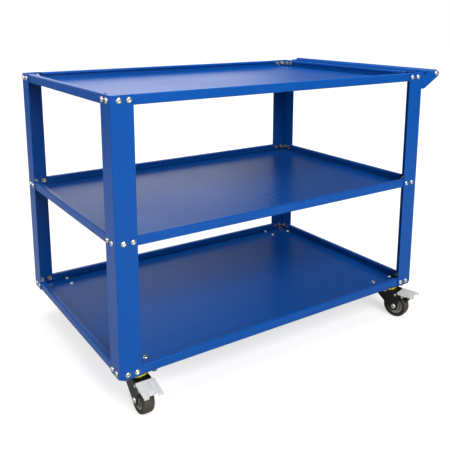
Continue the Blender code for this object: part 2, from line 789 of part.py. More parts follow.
def axle_bolt_mesh():
    """The domed axle bolt. Its head is on the -Y side of the fork."""
    seat = -LEG_OUTER - JOINT_GAP
    tip = LEG_OUTER + JOINT_GAP + AXLE_NUT + AXLE_TIP
    profile = [
        (0, seat - AXLE_HEAD),
        (AXLE_HEAD_RADIUS * 0.6, seat - AXLE_HEAD * 0.9),
        (AXLE_HEAD_RADIUS * 0.93, seat - AXLE_HEAD * 0.5),
        (AXLE_HEAD_RADIUS, seat),
        (AXLE_RADIUS, seat),
        (AXLE_RADIUS, tip),
        (0, tip),
    ]
    shape = bmesh.new()
    add_turned(shape, profile, SMALL_SEGMENTS, "y")
    return mesh_from(shape, "axle_bolt", math.radians(40))


def axle_nut_mesh():
    """The hexagon nut on the axle's threaded end, bored to clear the thread."""
    start = LEG_OUTER + JOINT_GAP
    across_corners = AXLE_NUT_FLATS / math.cos(math.pi / 6) / 2
    shape = bmesh.new()
    inner, outer = [], []
    for step in range(2 * 6):
        angle = math.pi * step / 6
        radius = across_corners if step % 2 == 0 else AXLE_NUT_FLATS / 2
        bore = AXLE_RADIUS + JOINT_GAP
        for ring, reach in ((outer, radius), (inner, bore)):
            side, up = reach * math.cos(angle), reach * math.sin(angle)
            ring.append([shape.verts.new((side, y, up)) for y in (start, start + AXLE_NUT)])
    for i in range(len(outer)):
        k = (i + 1) % len(outer)
        shape.faces.new((outer[i][0], outer[k][0], outer[k][1], outer[i][1]))
        shape.faces.new((inner[i][0], inner[k][0], inner[k][1], inner[i][1]))
        for level in (0, 1):
            shape.faces.new((outer[i][level], outer[k][level], inner[k][level], inner[i][level]))
    return mesh_from(shape, "axle_nut")


def brake_pin_mesh():
    """The riveted pin on which the pedal turns."""
    seat = LEG_OUTER + JOINT_GAP
    half = [
        (0, seat + PIN_HEAD),
        (PIN_HEAD_RADIUS * 0.7, seat + PIN_HEAD * 0.9),
        (PIN_HEAD_RADIUS, seat),
        (PIN_RADIUS, seat),
    ]
    profile = half + [(r, -y) for r, y in reversed(half)]
    shape = bmesh.new()
    add_turned(shape, profile, SMALL_SEGMENTS, "y")
    return mesh_from(shape, "brake_pin", math.radians(40))


def tab_outline():
    """Side view of one of the pedal's two ears, around the pin."""
    top = PEDAL_RISE + PEDAL_SHEET / 2
    rear = tangent_angle((-PEDAL_TAB_BACK, PEDAL_RISE), (0, 0), PEDAL_TAB_RADIUS, 1)
    front = tangent_angle((PEDAL_TAB_FRONT, PEDAL_RISE), (0, 0), PEDAL_TAB_RADIUS, -1)
    outline = [(PEDAL_TAB_FRONT, top), (-PEDAL_TAB_BACK, top), (-PEDAL_TAB_BACK, PEDAL_RISE)]
    outline += arc((0, 0), PEDAL_TAB_RADIUS, rear, front + 2 * math.pi, 8)
    outline.append((PEDAL_TAB_FRONT, PEDAL_RISE))
    return outline


def build_pedal(corner, hinge):
    """The pressed brake pedal around its pin: top plate, skirts, grooved lip and two ears."""
    name = f"brake_pedal_{corner}"
    half = PEDAL_WIDTH / 2
    low, high = PEDAL_RISE, PEDAL_RISE + PEDAL_SHEET
    shape = bmesh.new()
    inner = half - PEDAL_TIP_WIDTH
    step = PEDAL_FRONT - PEDAL_TIP_REACH
    plan = [
        (-PEDAL_BACK, -half),
        (PEDAL_FRONT, -half),
        (PEDAL_FRONT, -inner),
        (step, -inner),
        (step, inner),
        (PEDAL_FRONT, inner),
        (PEDAL_FRONT, half),
        (-PEDAL_BACK, half),
    ]
    add_prism(shape, plan, low, high, "z")
    pedal = add_object(name, mesh_from(shape, name), "bright_zinc", hinge)
    skirts = bmesh.new()
    overlap = PEDAL_SHEET / 2
    for side in (-1, 1):
        ends = sorted((side * half, side * (half - PEDAL_SHEET)))
        start, end = -PEDAL_BACK, PEDAL_FRONT - PEDAL_SHEET
        add_block(skirts, (start, ends[0], low - PEDAL_SKIRT), (end, ends[1], low + overlap))
    helper = add_object(name + "_skirts", mesh_from(skirts, "skirts"), "bright_zinc", hinge)
    add_modifier_boolean(pedal, helper, "UNION")
    lips = bmesh.new()
    for side in (-1, 1):
        ends = sorted((side * half, side * inner))
        add_block(lips, (PEDAL_FRONT - PEDAL_SHEET, ends[0], high - PEDAL_LIP), (PEDAL_FRONT, ends[1], low + overlap))
    helper = add_object(name + "_lips", mesh_from(lips, "lips"), "bright_zinc", hinge)
    add_modifier_boolean(pedal, helper, "UNION")
    tabs = bmesh.new()
    for side in (-1, 1):
        ends = sorted((side * PEDAL_TAB_SPAN / 2, side * (PEDAL_TAB_SPAN / 2 - PEDAL_SHEET)))
        add_prism(tabs, tab_outline(), ends[0], ends[1], "y")
    helper = add_object(name + "_tabs", mesh_from(tabs, "tabs"), "bright_zinc", hinge)
    add_modifier_boolean(pedal, helper, "UNION")
    cutter = bmesh.new()
    add_rod(cutter, (0, -half, 0), (0, half, 0), PIN_RADIUS + JOINT_GAP, SMALL_SEGMENTS)
    pitch = PEDAL_TIP_WIDTH / (PEDAL_GROOVES + 1)
    for side in (-1, 1):
        for i in range(PEDAL_GROOVES):
            y = side * (half - pitch * (i + 1))
            bottom = (PEDAL_FRONT, y, high - PEDAL_LIP - MM)
            add_rod(cutter, bottom, (PEDAL_FRONT, y, high + MM), PEDAL_GROOVE_RADIUS, 8)
    cut(pedal, cutter, hinge)


def shoe_outline():
    """Side view of the brake shoe around the pin, with the pedal up."""
    pin = Vector((PIN_FORWARD, PIN_HEIGHT))
    axle = (WHEEL_TRAIL, WHEEL_RADIUS)
    grip = WHEEL_RADIUS + SHOE_GRIP_GAP
    back = grip + SHOE_THICKNESS
    pressed = arc(axle, grip, SHOE_START, SHOE_END, 5) + arc(axle, back, SHOE_END, SHOE_START, 5)
    lift = Matrix.Rotation(PEDAL_TRAVEL, 2)
    return [tuple(lift @ (Vector(point) - pin)) for point in pressed]


def build_shoe(corner, hinge):
    """The black brake shoe, held between the pedal's ears by its stem."""
    name = f"brake_shoe_{corner}"
    outline = shoe_outline()
    shape = bmesh.new()
    add_prism(shape, outline, -SHOE_WIDTH / 2, SHOE_WIDTH / 2, "y")
    shoe = add_object(name, mesh_from(shape, name, math.radians(35)), "black_paint", hinge)
    top = PEDAL_RISE - JOINT_GAP
    tip = outline[-1]
    foot = outline[-3]
    sunk = SHOE_THICKNESS / 3
    stem = bmesh.new()
    plan = [(tip[0], tip[1] - sunk), (tip[0] + MM / 2, top), (tip[0] - SHOE_STEM, top), (foot[0], foot[1] - sunk)]
    add_prism(stem, plan, -SHOE_WIDTH / 3, SHOE_WIDTH / 3, "y")
    helper = add_object(name + "_stem", mesh_from(stem, "stem"), "black_paint", hinge)
    add_modifier_boolean(shoe, helper, "UNION")


def build_caster(corner, shared, root):
    """One caster: plate and kingpin fixed, fork turning, wheel rolling, pedal tilting."""
    place = caster_axis(corner)
    heading = math.radians(CASTER_HEADINGS[corner])
    build_mount_plate(corner, place, root)
    add_object(f"kingpin_{corner}", shared["kingpin"], "zinc", root, (*place, 0))
    swivel = empty(f"swivel_axis_{corner}", root, (*place, 0), (0, 0, heading))
    add_object(f"dust_ring_{corner}", shared["dust_ring"], "yellow_plastic", swivel)
    build_fork(corner, swivel)
    axle = (WHEEL_TRAIL, 0, WHEEL_RADIUS)
    add_object(f"axle_bolt_{corner}", shared["axle_bolt"], "zinc", swivel, axle)
    add_object(f"axle_nut_{corner}", shared["axle_nut"], "zinc", swivel, axle)
    add_object(f"wheel_hub_{corner}", shared["hub"], "grey_plastic", swivel, axle)
    add_object(f"tyre_{corner}", shared["tyre"], "rubber", swivel, axle)
    pin = (PIN_FORWARD, 0, PIN_HEIGHT)
    add_object(f"brake_pin_{corner}", shared["brake_pin"], "zinc", swivel, pin)
    tip_down = PEDAL_TRAVEL if corner in BRAKES_SET else 0
    hinge = empty(f"pedal_axis_{corner}", swivel, pin, (0, tip_down, 0))
    build_pedal(corner, hinge)
    build_shoe(corner, hinge)


def centre_on_origin(root):
    """Moves the root so that the footprint's centre is at x = y = 0."""
    bpy.context.view_layer.update()
    graph = bpy.context.evaluated_depsgraph_get()
    spans = [[], [], []]
    for item in bpy.data.objects:
        if item.type != "MESH" or item.hide_render:
            continue
        evaluated = item.evaluated_get(graph)
        for vertex in evaluated.data.vertices:
            point = item.matrix_world @ vertex.co
            for axis in range(3):
                spans[axis].append(point[axis])
    middle = [(min(span) + max(span)) / 2 for span in spans]
    root.location = (-middle[0], -middle[1], 0)


def main():
    clear_scene()
    root = empty("trolley")
    for corner in corner_signs():
        build_post(corner, root)
    for level in TRAY_RIM_TOPS:
        build_tray(level, root)
    build_handle(root)
    for side in ("front", "rear"):
        build_handle_bracket(side, root)
    shared = {
        "kingpin": kingpin_mesh(),
        "dust_ring": dust_ring_mesh(),
        "axle_bolt": axle_bolt_mesh(),
        "axle_nut": axle_nut_mesh(),
        "hub": hub_mesh(),
        "tyre": tyre_mesh(),
        "brake_pin": brake_pin_mesh(),
    }
    for corner in CASTER_HEADINGS:
        build_caster(corner, shared, root)
    centre_on_origin(root)


main()
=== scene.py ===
"""Looks of the three-tier tool trolley: folded sheet, fasteners, casters, finishes and studio.

Every piece is built in metres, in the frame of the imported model, and rides on one of its bodies.
+X runs along the trolley to the push handle, +Y to the back and +Z up. A caster's own frame has
its swivel axis as Z and trails along +X, with the floor at Z = 0.
"""

import json
import logging
import math
from collections.abc import Iterable, Sequence
from dataclasses import dataclass, field
from enum import Enum

import bmesh
import bpy
from bpy.types import Mesh, Node, NodeSocket, Object
from mathutils import Matrix, Vector


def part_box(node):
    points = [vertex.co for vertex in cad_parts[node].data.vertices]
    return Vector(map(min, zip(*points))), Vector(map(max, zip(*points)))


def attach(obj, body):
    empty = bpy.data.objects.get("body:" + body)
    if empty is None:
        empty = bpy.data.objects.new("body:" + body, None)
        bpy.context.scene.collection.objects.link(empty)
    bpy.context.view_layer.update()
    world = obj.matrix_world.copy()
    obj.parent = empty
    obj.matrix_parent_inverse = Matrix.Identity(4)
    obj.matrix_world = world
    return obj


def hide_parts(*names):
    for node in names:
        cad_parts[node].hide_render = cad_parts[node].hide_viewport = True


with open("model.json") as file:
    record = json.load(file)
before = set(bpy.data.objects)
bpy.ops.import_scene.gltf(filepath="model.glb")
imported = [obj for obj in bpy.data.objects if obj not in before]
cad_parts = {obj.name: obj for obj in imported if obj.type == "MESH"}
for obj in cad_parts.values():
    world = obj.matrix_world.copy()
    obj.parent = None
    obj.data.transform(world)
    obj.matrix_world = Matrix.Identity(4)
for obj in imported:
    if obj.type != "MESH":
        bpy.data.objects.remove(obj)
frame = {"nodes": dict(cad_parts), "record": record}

LOG = logging.getLogger("trolley")

MM = 0.001
JOINT_GAP = 0.3 * MM
MERGE_DISTANCE = 0.001 * MM
ROOT_BODY = "trolley_frame"

Point2 = tuple[float, float]
Colour = tuple[float, float, float]


# Mesh tools ---------------------------------------------------------------------------------


class Solid(Enum):
    """How a tool shape changes a piece."""

    CUT = "DIFFERENCE"
    JOIN = "UNION"
    KEEP = "INTERSECT"


def arc(centre: Point2, radius: float, start: float, end: float, steps: int) -> list[Point2]:
    """Walks along an arc.

    Args:
        centre: middle of the arc.
        radius: its radius.
        start: first angle in radians.
        end: last angle in radians.
        steps: number of chords.

    Returns:
        The points, both ends included.
    """
    angles = [start + (end - start) * step / steps for step in range(steps + 1)]
    return [(centre[0] + radius * math.cos(a), centre[1] + radius * math.sin(a)) for a in angles]


def tangent_angle(point: Point2, centre: Point2, radius: float, side: int) -> float:
    """Finds where a line from a point touches a circle.

    Args:
        point: where the line starts.
        centre: middle of the circle.
        radius: its radius.
        side: +1 or -1, which of the two lines.

    Returns:
        The angle of the touching point, seen from the centre.
    """
    away = Vector(point) - Vector(centre)
    return math.atan2(away.y, away.x) + side * math.acos(radius / away.length)


def rounded_rectangle(length: float, width: float, radius: float, steps: int = 6) -> list[Point2]:
    """Outline of a centred rectangle with round corners.

    Args:
        length: size along x.
        width: size along y.
        radius: radius.
        steps: points on each quarter round.

    Returns:
        The outline's points.
    """
    outline: list[Point2] = []
    half_x, half_y = length / 2 - radius, width / 2 - radius
    for quarter, (sx, sy) in enumerate(((1, 1), (-1, 1), (-1, -1), (1, -1))):
        start = quarter * math.pi / 2
        outline += arc((sx * half_x, sy * half_y), radius, start, start + math.pi / 2, steps)
    return outline


def add_prism(
    shape: bmesh.types.BMesh, outline: Sequence[Point2], low: float, high: float, axis: str = "z"
) -> None:
    """Adds an outline stretched along an axis.

    Args:
        shape: the shape that grows.
        outline: points in the two other axes, in the order x, y, z.
        low: where the prism starts.
        high: where it ends.
        axis: x, y or z.
    """
    along = "xyz".index(axis)
    rest = [i for i in range(3) if i != along]
    rings = []
    for level in (low, high):
        ring = []
        for pair in outline:
            point = [level] * 3
            point[rest[0]], point[rest[1]] = pair
            ring.append(shape.verts.new(point))
        rings.append(ring)
    shape.faces.new(rings[0])
    shape.faces.new(reversed(rings[1]))
    for i in range(len(outline)):
        k = (i + 1) % len(outline)
        shape.faces.new((rings[0][i], rings[0][k], rings[1][k], rings[1][i]))


def add_block(shape: bmesh.types.BMesh, low: Sequence[float], high: Sequence[float]) -> None:
    """Adds a box between two corners."""
    size, middle = Vector(high) - Vector(low), (Vector(high) + Vector(low)) / 2
    bmesh.ops.create_cube(shape, size=1, matrix=Matrix.Translation(middle) @ Matrix.Diagonal((*size, 1)))


def add_rod(
    shape: bmesh.types.BMesh, start: Sequence[float], end: Sequence[float], radius: float, segments: int = 24
) -> None:
    """Adds a cylinder between two points.

    Args:
        shape: the shape that grows.
        start: one end.
        end: the other end.
        radius: radius.
        segments: how many flat sides stand for the round.
    """
    first, last = Vector(start), Vector(end)
    turn = (last - first).to_track_quat("Z", "Y").to_matrix().to_4x4()
    bmesh.ops.create_cone(
        shape,
        cap_ends=True,
        segments=segments,
        radius1=radius,
        radius2=radius,
        depth=(last - first).length,
        matrix=Matrix.Translation((first + last) / 2) @ turn,
    )


def add_lathe(shape: bmesh.types.BMesh, profile: Sequence[Point2], segments: int, axis: str = "z") -> None:
    """Adds the solid that a closed profile makes around an axis.

    Args:
        shape: the shape that grows.
        profile: points of (radius, height). A radius of zero is a pole.
        segments: steps around the axis.
        axis: z or y.
    """

    def place(radius: float, height: float, angle: float) -> Vector:
        """A profile point at an angle."""
        side, up = radius * math.cos(angle), radius * math.sin(angle)
        return Vector((side, up, height)) if axis == "z" else Vector((side, height, up))

    poles = {i: shape.verts.new(place(0, h, 0)) for i, (r, h) in enumerate(profile) if r == 0}
    columns = []
    for step in range(segments):
        angle = 2 * math.pi * step / segments
        columns.append(
            [poles.get(i) or shape.verts.new(place(r, h, angle)) for i, (r, h) in enumerate(profile)]
        )
    for step in range(segments):
        here, there = columns[step], columns[(step + 1) % segments]
        for i in range(len(profile)):
            k = (i + 1) % len(profile)
            corners: list[bmesh.types.BMVert] = []
            for corner in (here[i], here[k], there[k], there[i]):
                if corner not in corners:
                    corners.append(corner)
            if len(corners) > 2:
                shape.faces.new(corners)


def fillet(profile: Sequence[Point2], radius: float, steps: int = 3) -> list[Point2]:
    """Rounds every corner of a closed profile, poles on the axis left alone.

    Args:
        profile: points of (radius, height).
        radius: how far the rounding starts from each corner, less where a side is short.
        steps: chords of each rounding.

    Returns:
        The profile with each corner as a short curve.
    """
    rounded: list[Point2] = []
    count = len(profile)
    for i, here in enumerate(profile):
        before, after = Vector(profile[i - 1]), Vector(profile[(i + 1) % count])
        corner = Vector(here)
        if here[0] == 0:
            rounded.append(here)
            continue
        reach = min(radius, (before - corner).length * 0.45, (after - corner).length * 0.45)
        start = corner + (before - corner).normalized() * reach
        end = corner + (after - corner).normalized() * reach
        for step in range(steps + 1):
            t = step / steps
            point = start * (1 - t) ** 2 + corner * 2 * t * (1 - t) + end * t**2
            rounded.append((point.x, point.y))
    return rounded


def link_shape(name: str, shape: bmesh.types.BMesh) -> Object:
    """Puts a shape into the scene as an object of its own.

    Args:
        name: the object's name.
        shape: the shape, which is used up.

    Returns:
        The new object.
    """
    mesh = bpy.data.meshes.new(name)
    shape.to_mesh(mesh)
    shape.free()
    linked = bpy.data.objects.new(name, mesh)
    bpy.context.scene.collection.objects.link(linked)
    return linked


def new_piece(name: str, shape: bmesh.types.BMesh, matrix: Matrix | None = None) -> Object:
    """Turns a shape into an object at the origin, closed and facing out.

    Args:
        name: the piece's name.
        shape: the shape, which is used up.
        matrix: where the shape goes, or None where it is already in place.

    Returns:
        The new object.
    """
    if matrix is not None:
        bmesh.ops.transform(shape, matrix=matrix, verts=shape.verts)
    bmesh.ops.remove_doubles(shape, verts=shape.verts, dist=MERGE_DISTANCE)
    bmesh.ops.recalc_face_normals(shape, faces=shape.faces)
    return link_shape(name, shape)


def apply_modifiers(piece: Object) -> None:
    """Turns a piece's modifiers into its plain mesh.

    Args:
        piece: the piece that changes.
    """
    bpy.context.view_layer.update()
    graph = bpy.context.evaluated_depsgraph_get()
    mesh = bpy.data.meshes.new_from_object(
        piece.evaluated_get(graph), preserve_all_data_layers=True, depsgraph=graph
    )
    before = piece.data
    piece.modifiers.clear()
    piece.data = mesh
    bpy.data.meshes.remove(before)


def carve(piece: Object, tool_shape: bmesh.types.BMesh, how: Solid, matrix: Matrix | None = None) -> None:
    """Cuts, joins or keeps with a tool shape.

    Args:
        piece: the piece that changes.
        tool_shape: the tool, which is used up.
        how: what the tool does.
        matrix: where the tool goes, or None where it is already in place.
    """
    tool = new_piece(piece.name + "_tool", tool_shape, matrix)
    modifier = piece.modifiers.new("tool", "BOOLEAN")
    modifier.operation = how.value
    modifier.solver = "EXACT"
    modifier.object = tool
    apply_modifiers(piece)
    mesh = tool.data
    bpy.data.objects.remove(tool)
    bpy.data.meshes.remove(mesh)


def soften(piece: Object, width: float, segments: int = 2, angle: float = 50.0) -> None:
    """Rounds a piece's sharp edges and keeps its flats flat.

    Args:
        piece: the piece that changes.
        width: how far the rounding reaches from each edge.
        segments: strips across each rounding.
        angle: edges that turn by more than this many degrees are rounded.
    """
    piece.data.shade_smooth()
    bevel = piece.modifiers.new("edges", "BEVEL")
    bevel.width = width
    bevel.segments = segments
    bevel.limit_method = "ANGLE"
    bevel.angle_limit = math.radians(angle)
    weighted = piece.modifiers.new("normals", "WEIGHTED_NORMAL")
    weighted.keep_sharp = True
    apply_modifiers(piece)


def shade(mesh: Mesh, sharp_angle: float = 35.0) -> None:
    """Shades a mesh smooth, apart from edges sharper than an angle in degrees."""
    mesh.shade_smooth()
    mesh.set_sharp_from_angle(angle=math.radians(sharp_angle))


# Node trees ---------------------------------------------------------------------------------


class TreeMaker:
    """Builds one node group, with named inputs and outputs."""

    def __init__(self, name: str, kind: str) -> None:
        """Starts an empty group of a kind such as GeometryNodeTree.

        Args:
            name: name of what is made.
            kind: kind of node group, such as GeometryNodeTree.
        """
        self.tree = bpy.data.node_groups.new(name, kind)
        self.inlet = self.tree.nodes.new("NodeGroupInput")
        self.outlet = self.tree.nodes.new("NodeGroupOutput")

    def add_input(self, name: str, kind: str, value: object = None) -> None:
        """Adds a named input of a kind such as Float, with its usual value."""
        socket = self.tree.interface.new_socket(name, in_out="INPUT", socket_type="NodeSocket" + kind)
        if value is not None:
            socket.default_value = value

    def add_output(self, name: str, kind: str) -> None:
        """Adds a named output."""
        self.tree.interface.new_socket(name, in_out="OUTPUT", socket_type="NodeSocket" + kind)

    def given(self, name: str) -> NodeSocket:
        """The socket inside the group that brings a named input."""
        return self.inlet.outputs[name]

    def node(self, kind: str, settings: dict[str, object] | None = None, **inputs: object) -> Node:
        """Adds a node to the group, as place_node does."""
        return place_node(self.tree, kind, settings, **inputs)

    def give(self, name: str, source: NodeSocket) -> None:
        """Links a socket to a named output."""
        self.tree.links.new(source, self.outlet.inputs[name])


def place_node(
    tree: bpy.types.NodeTree, kind: str, settings: dict[str, object] | None = None, **inputs: object
) -> Node:
    """Adds a node and fills its inputs.

    Args:
        tree: the tree that gets the node.
        kind: the node's Blender type.
        settings: properties of the node itself.
        inputs: a value or a socket for each input, by its name with _ for a space, or by i and its index.

    Returns:
        The new node.
    """
    node = tree.nodes.new(kind)
    for name, value in (settings or {}).items():
        setattr(node, name, value)
    for name, value in inputs.items():
        key: int | str = int(name[1:]) if name[0] == "i" and name[1:].isdigit() else name.replace("_", " ")
        if isinstance(value, NodeSocket):
            tree.links.new(value, node.inputs[key])
        else:
            node.inputs[key].default_value = value
    return node


def grow(piece: Object, tree: bpy.types.NodeTree, values: dict[str, object]) -> None:
    """Runs a Geometry Nodes tree on a piece and keeps the result as its plain mesh.

    Args:
        piece: the piece that carries the tree.
        tree: the Geometry Nodes group.
        values: a value for each named input.
    """
    modifier = piece.modifiers.new("grown", "NODES")
    modifier.node_group = tree
    for item in tree.interface.items_tree:
        if item.item_type == "SOCKET" and item.in_out == "INPUT" and item.name in values:
            modifier[item.identifier] = values[item.name]
    apply_modifiers(piece)
    shade(piece.data)


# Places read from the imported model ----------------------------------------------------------


class Corner(Enum):
    """A corner of the trolley and the way from it to the middle, along X and Y."""

    FRONT_LEFT = ("front_left", 1, 1)
    FRONT_RIGHT = ("front_right", -1, 1)
    REAR_LEFT = ("rear_left", 1, -1)
    REAR_RIGHT = ("rear_right", -1, -1)

    @property
    def label(self) -> str:
        """The corner's name in node names."""
        return self.value[0]

    @property
    def inward(self) -> tuple[int, int]:
        """Signs of the way to the middle."""
        return self.value[1], self.value[2]


class Level(Enum):
    """A tray."""

    BOTTOM = "bottom"
    MIDDLE = "middle"
    TOP = "top"


@dataclass(frozen=True)
class Layout:
    """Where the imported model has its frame, in metres."""

    low: Vector
    high: Vector
    flange: float
    tray_tops: dict[Level, float]
    tray_rim: float

    @classmethod
    def from_frame(cls) -> "Layout":
        """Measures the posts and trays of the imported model.

        Returns:
            The layout.
        """
        low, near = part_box("post_front_left")
        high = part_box("post_rear_right")[1]
        tops = {level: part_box(f"tray_{level.value}")[1].z for level in Level}
        tray_low, tray_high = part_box("tray_top")
        return cls(low, high, near.x - low.x, tops, tray_high.z - tray_low.z)

    def corner(self, corner: Corner) -> Vector:
        """Outer corner of the frame, at floor height."""
        sx, sy = corner.inward
        return Vector((self.low.x if sx > 0 else self.high.x, self.low.y if sy > 0 else self.high.y, 0))

    def matrix(self, corner: Corner) -> Matrix:
        """Takes inward distances from a corner, and a height, to their place."""
        sx, sy = corner.inward
        return Matrix.Translation(self.corner(corner)) @ Matrix.Diagonal((sx, sy, 1, 1))


# Finishes -----------------------------------------------------------------------------------


def surface_grain_group() -> bpy.types.NodeTree:
    """Height of a fine grain, in two sizes, for paint, cast plastic and rolled metal.

    Returns:
        The node group.
    """
    maker = TreeMaker("surface_grain", "ShaderNodeTree")
    maker.add_input("Coarse Scale", "Float", 300.0)
    maker.add_input("Fine Scale", "Float", 1200.0)
    maker.add_input("Fine Share", "Float", 0.3)
    maker.add_output("Height", "Float")
    place = maker.node("ShaderNodeTexCoord").outputs["Object"]
    coarse = maker.node("ShaderNodeTexNoise", Vector=place, Scale=maker.given("Coarse Scale"), Detail=2.0)
    fine = maker.node("ShaderNodeTexNoise", Vector=place, Scale=maker.given("Fine Scale"), Detail=3.0)
    both = maker.node(
        "ShaderNodeMix", {"data_type": "FLOAT"}, i0=maker.given(
            "Fine Share"
        ), i2=coarse.outputs[0], i3=fine.outputs[0]
    )
    maker.give("Height", both.outputs[0])
    return maker.tree


def tone_group() -> bpy.types.NodeTree:
    """Colour and roughness that drift slowly over a surface.

    Returns:
        The node group.
    """
    maker = TreeMaker("tone_drift", "ShaderNodeTree")
    maker.add_input("Colour", "Color", (0.5, 0.5, 0.5, 1))
    maker.add_input("Second Colour", "Color", (0.4, 0.4, 0.4, 1))
    maker.add_input("Roughness", "Float", 0.4)
    maker.add_input("Roughness Drift", "Float", 0.05)
    maker.add_input("Scale", "Float", 8.0)
    maker.add_output("Colour", "Color")
    maker.add_output("Roughness", "Float")
    place = maker.node("ShaderNodeTexCoord").outputs["Object"]
    cloud = maker.node(
        "ShaderNodeTexNoise", Vector=place, Scale=maker.given("Scale"), Detail=4.0, Roughness=0.6
    )
    even = maker.node("ShaderNodeMapRange", i0=cloud.outputs[0], i1=0.3, i2=0.7)
    mixed = maker.node(
        "ShaderNodeMix",
        {"data_type": "RGBA"},
        i0=even.outputs[0],
        i6=maker.given("Colour"),
        i7=maker.given("Second Colour"),
    )
    maker.give("Colour", mixed.outputs[2])
    drift = maker.node(
        "ShaderNodeMath",
        {"operation": "MULTIPLY_ADD"},
        i0=even.outputs[0],
        i1=maker.given("Roughness Drift"),
        i2=maker.given("Roughness"),
    )
    maker.give("Roughness", drift.outputs[0])
    return maker.tree


def speck_group() -> bpy.types.NodeTree:
    """Mask of small scattered specks of dust and scuff.

    Returns:
        The node group.
    """
    maker = TreeMaker("specks", "ShaderNodeTree")
    maker.add_input("Scale", "Float", 180.0)
    maker.add_input("Size", "Float", 0.12)
    maker.add_input("Amount", "Float", 0.2)
    maker.add_output("Mask", "Float")
    place = maker.node("ShaderNodeTexCoord").outputs["Object"]
    cells = maker.node("ShaderNodeTexVoronoi", Vector=place, Scale=maker.given("Scale"), Randomness=1.0)
    patch = maker.node("ShaderNodeTexNoise", Vector=place, Scale=9.0, Detail=3.0)
    dot = maker.node("ShaderNodeMapRange", i0=cells.outputs["Distance"], i1=maker.given("Size"), i2=0.0)
    somewhere = maker.node("ShaderNodeMapRange", i0=patch.outputs[0], i1=0.5, i2=0.62)
    both = maker.node("ShaderNodeMath", {"operation": "MULTIPLY"}, i0=dot.outputs[0], i1=somewhere.outputs[0])
    scaled = maker.node(
        "ShaderNodeMath", {"operation": "MULTIPLY"}, i0=both.outputs[0], i1=maker.given("Amount")
    )
    maker.give("Mask", scaled.outputs[0])
    return maker.tree


@dataclass(frozen=True)
class Finish:
    """One finish: its colours, gloss and fine grain.

    Colours are linear. The grain is given in waves per metre and its depth in metres.
    """

    name: str
    slot: str
    colour: Colour
    second: Colour
    roughness: float
    drift: float = 0.05
    metallic: float = 0.0
    coat: float = 0.0
    coat_roughness: float = 0.1
    specular: float = 0.5
    tone_scale: float = 8.0
    coarse: float = 300.0
    fine: float = 1400.0
    fine_share: float = 0.3
    depth: float = 0.00002
    speck_colour: Colour = (0.5, 0.5, 0.5)
    speck_scale: float = 180.0
    speck_amount: float = 0.0
    worn: str = ""

    def build(self, groups: dict[str, bpy.types.NodeTree]) -> bpy.types.Material:
        """Makes the material.

        Args:
            groups: the shared shader groups by name.

        Returns:
            The new material.
        """
        material = bpy.data.materials.new(self.name)
        material.use_nodes = True
        tree = material.node_tree
        shader = tree.nodes["Principled BSDF"]
        shader.inputs["Metallic"].default_value = self.metallic
        shader.inputs["Specular IOR Level"].default_value = self.specular
        shader.inputs["Coat Weight"].default_value = self.coat
        shader.inputs["Coat Roughness"].default_value = self.coat_roughness
        tone = place_node(
            tree,
            "ShaderNodeGroup",
            {"node_tree": groups["tone"]},
            Colour=(*self.colour, 1),
            Second_Colour=(*self.second, 1),
            Roughness=self.roughness,
            Roughness_Drift=self.drift,
            Scale=self.tone_scale,
        )
        colour = tone.outputs["Colour"]
        if self.speck_amount:
            colour = self.add_specks(tree, groups, colour)
        if self.worn:
            colour = self.add_wear(tree, colour)
        grain = place_node(
            tree,
            "ShaderNodeGroup",
            {"node_tree": groups["grain"]},
            Coarse_Scale=self.coarse,
            Fine_Scale=self.fine,
            Fine_Share=self.fine_share,
        )
        bump = place_node(
            tree, "ShaderNodeBump", Height=grain.outputs["Height"], Distance=self.depth, Strength=1.0
        )
        tree.links.new(colour, shader.inputs["Base Color"])
        tree.links.new(tone.outputs["Roughness"], shader.inputs["Roughness"])
        tree.links.new(bump.outputs["Normal"], shader.inputs["Normal"])
        return material

    def add_specks(
        self, tree: bpy.types.NodeTree, groups: dict[str, bpy.types.NodeTree], colour: NodeSocket
    ) -> NodeSocket:
        """Lays specks over a colour and returns the result.

        Args:
            tree: the material's nodes.
            groups: the shared node groups, by name.
            colour: the colour so far.

        Returns:
            The socket with the result.
        """
        specks = place_node(
            tree,
            "ShaderNodeGroup",
            {"node_tree": groups["specks"]},
            Scale=self.speck_scale,
            Amount=self.speck_amount,
        )
        mixed = place_node(
            tree,
            "ShaderNodeMix",
            {"data_type": "RGBA"},
            i0=specks.outputs["Mask"],
            i6=colour,
            i7=(*self.speck_colour, 1),
        )
        return mixed.outputs[2]

    def add_wear(self, tree: bpy.types.NodeTree, colour: NodeSocket) -> NodeSocket:
        """Lightens a colour in streaks round the tread, where the piece's wear is high.

        Args:
            tree: the material's nodes.
            colour: the colour so far.

        Returns:
            The socket with the result.
        """
        worn = place_node(tree, "ShaderNodeAttribute", {"attribute_name": self.worn})
        around = place_node(tree, "ShaderNodeAttribute", {"attribute_name": AROUND}).outputs["Vector"]
        streak = place_node(tree, "ShaderNodeTexNoise", Vector=around, Scale=2.2, Detail=6.0, Roughness=0.65)
        strong = place_node(tree, "ShaderNodeMapRange", i0=streak.outputs[0], i1=0.42, i2=0.7)
        mask = place_node(
            tree, "ShaderNodeMath", {"operation": "MULTIPLY"}, i0=worn.outputs["Fac"], i1=strong.outputs[0]
        )
        mixed = place_node(
            tree, "ShaderNodeMix", {"data_type": "RGBA"}, i0=mask.outputs[0], i6=colour, i7=(
                *self.speck_colour, 1
            )
        )
        return mixed.outputs[2]


WEAR = "wear"
AROUND = "around"

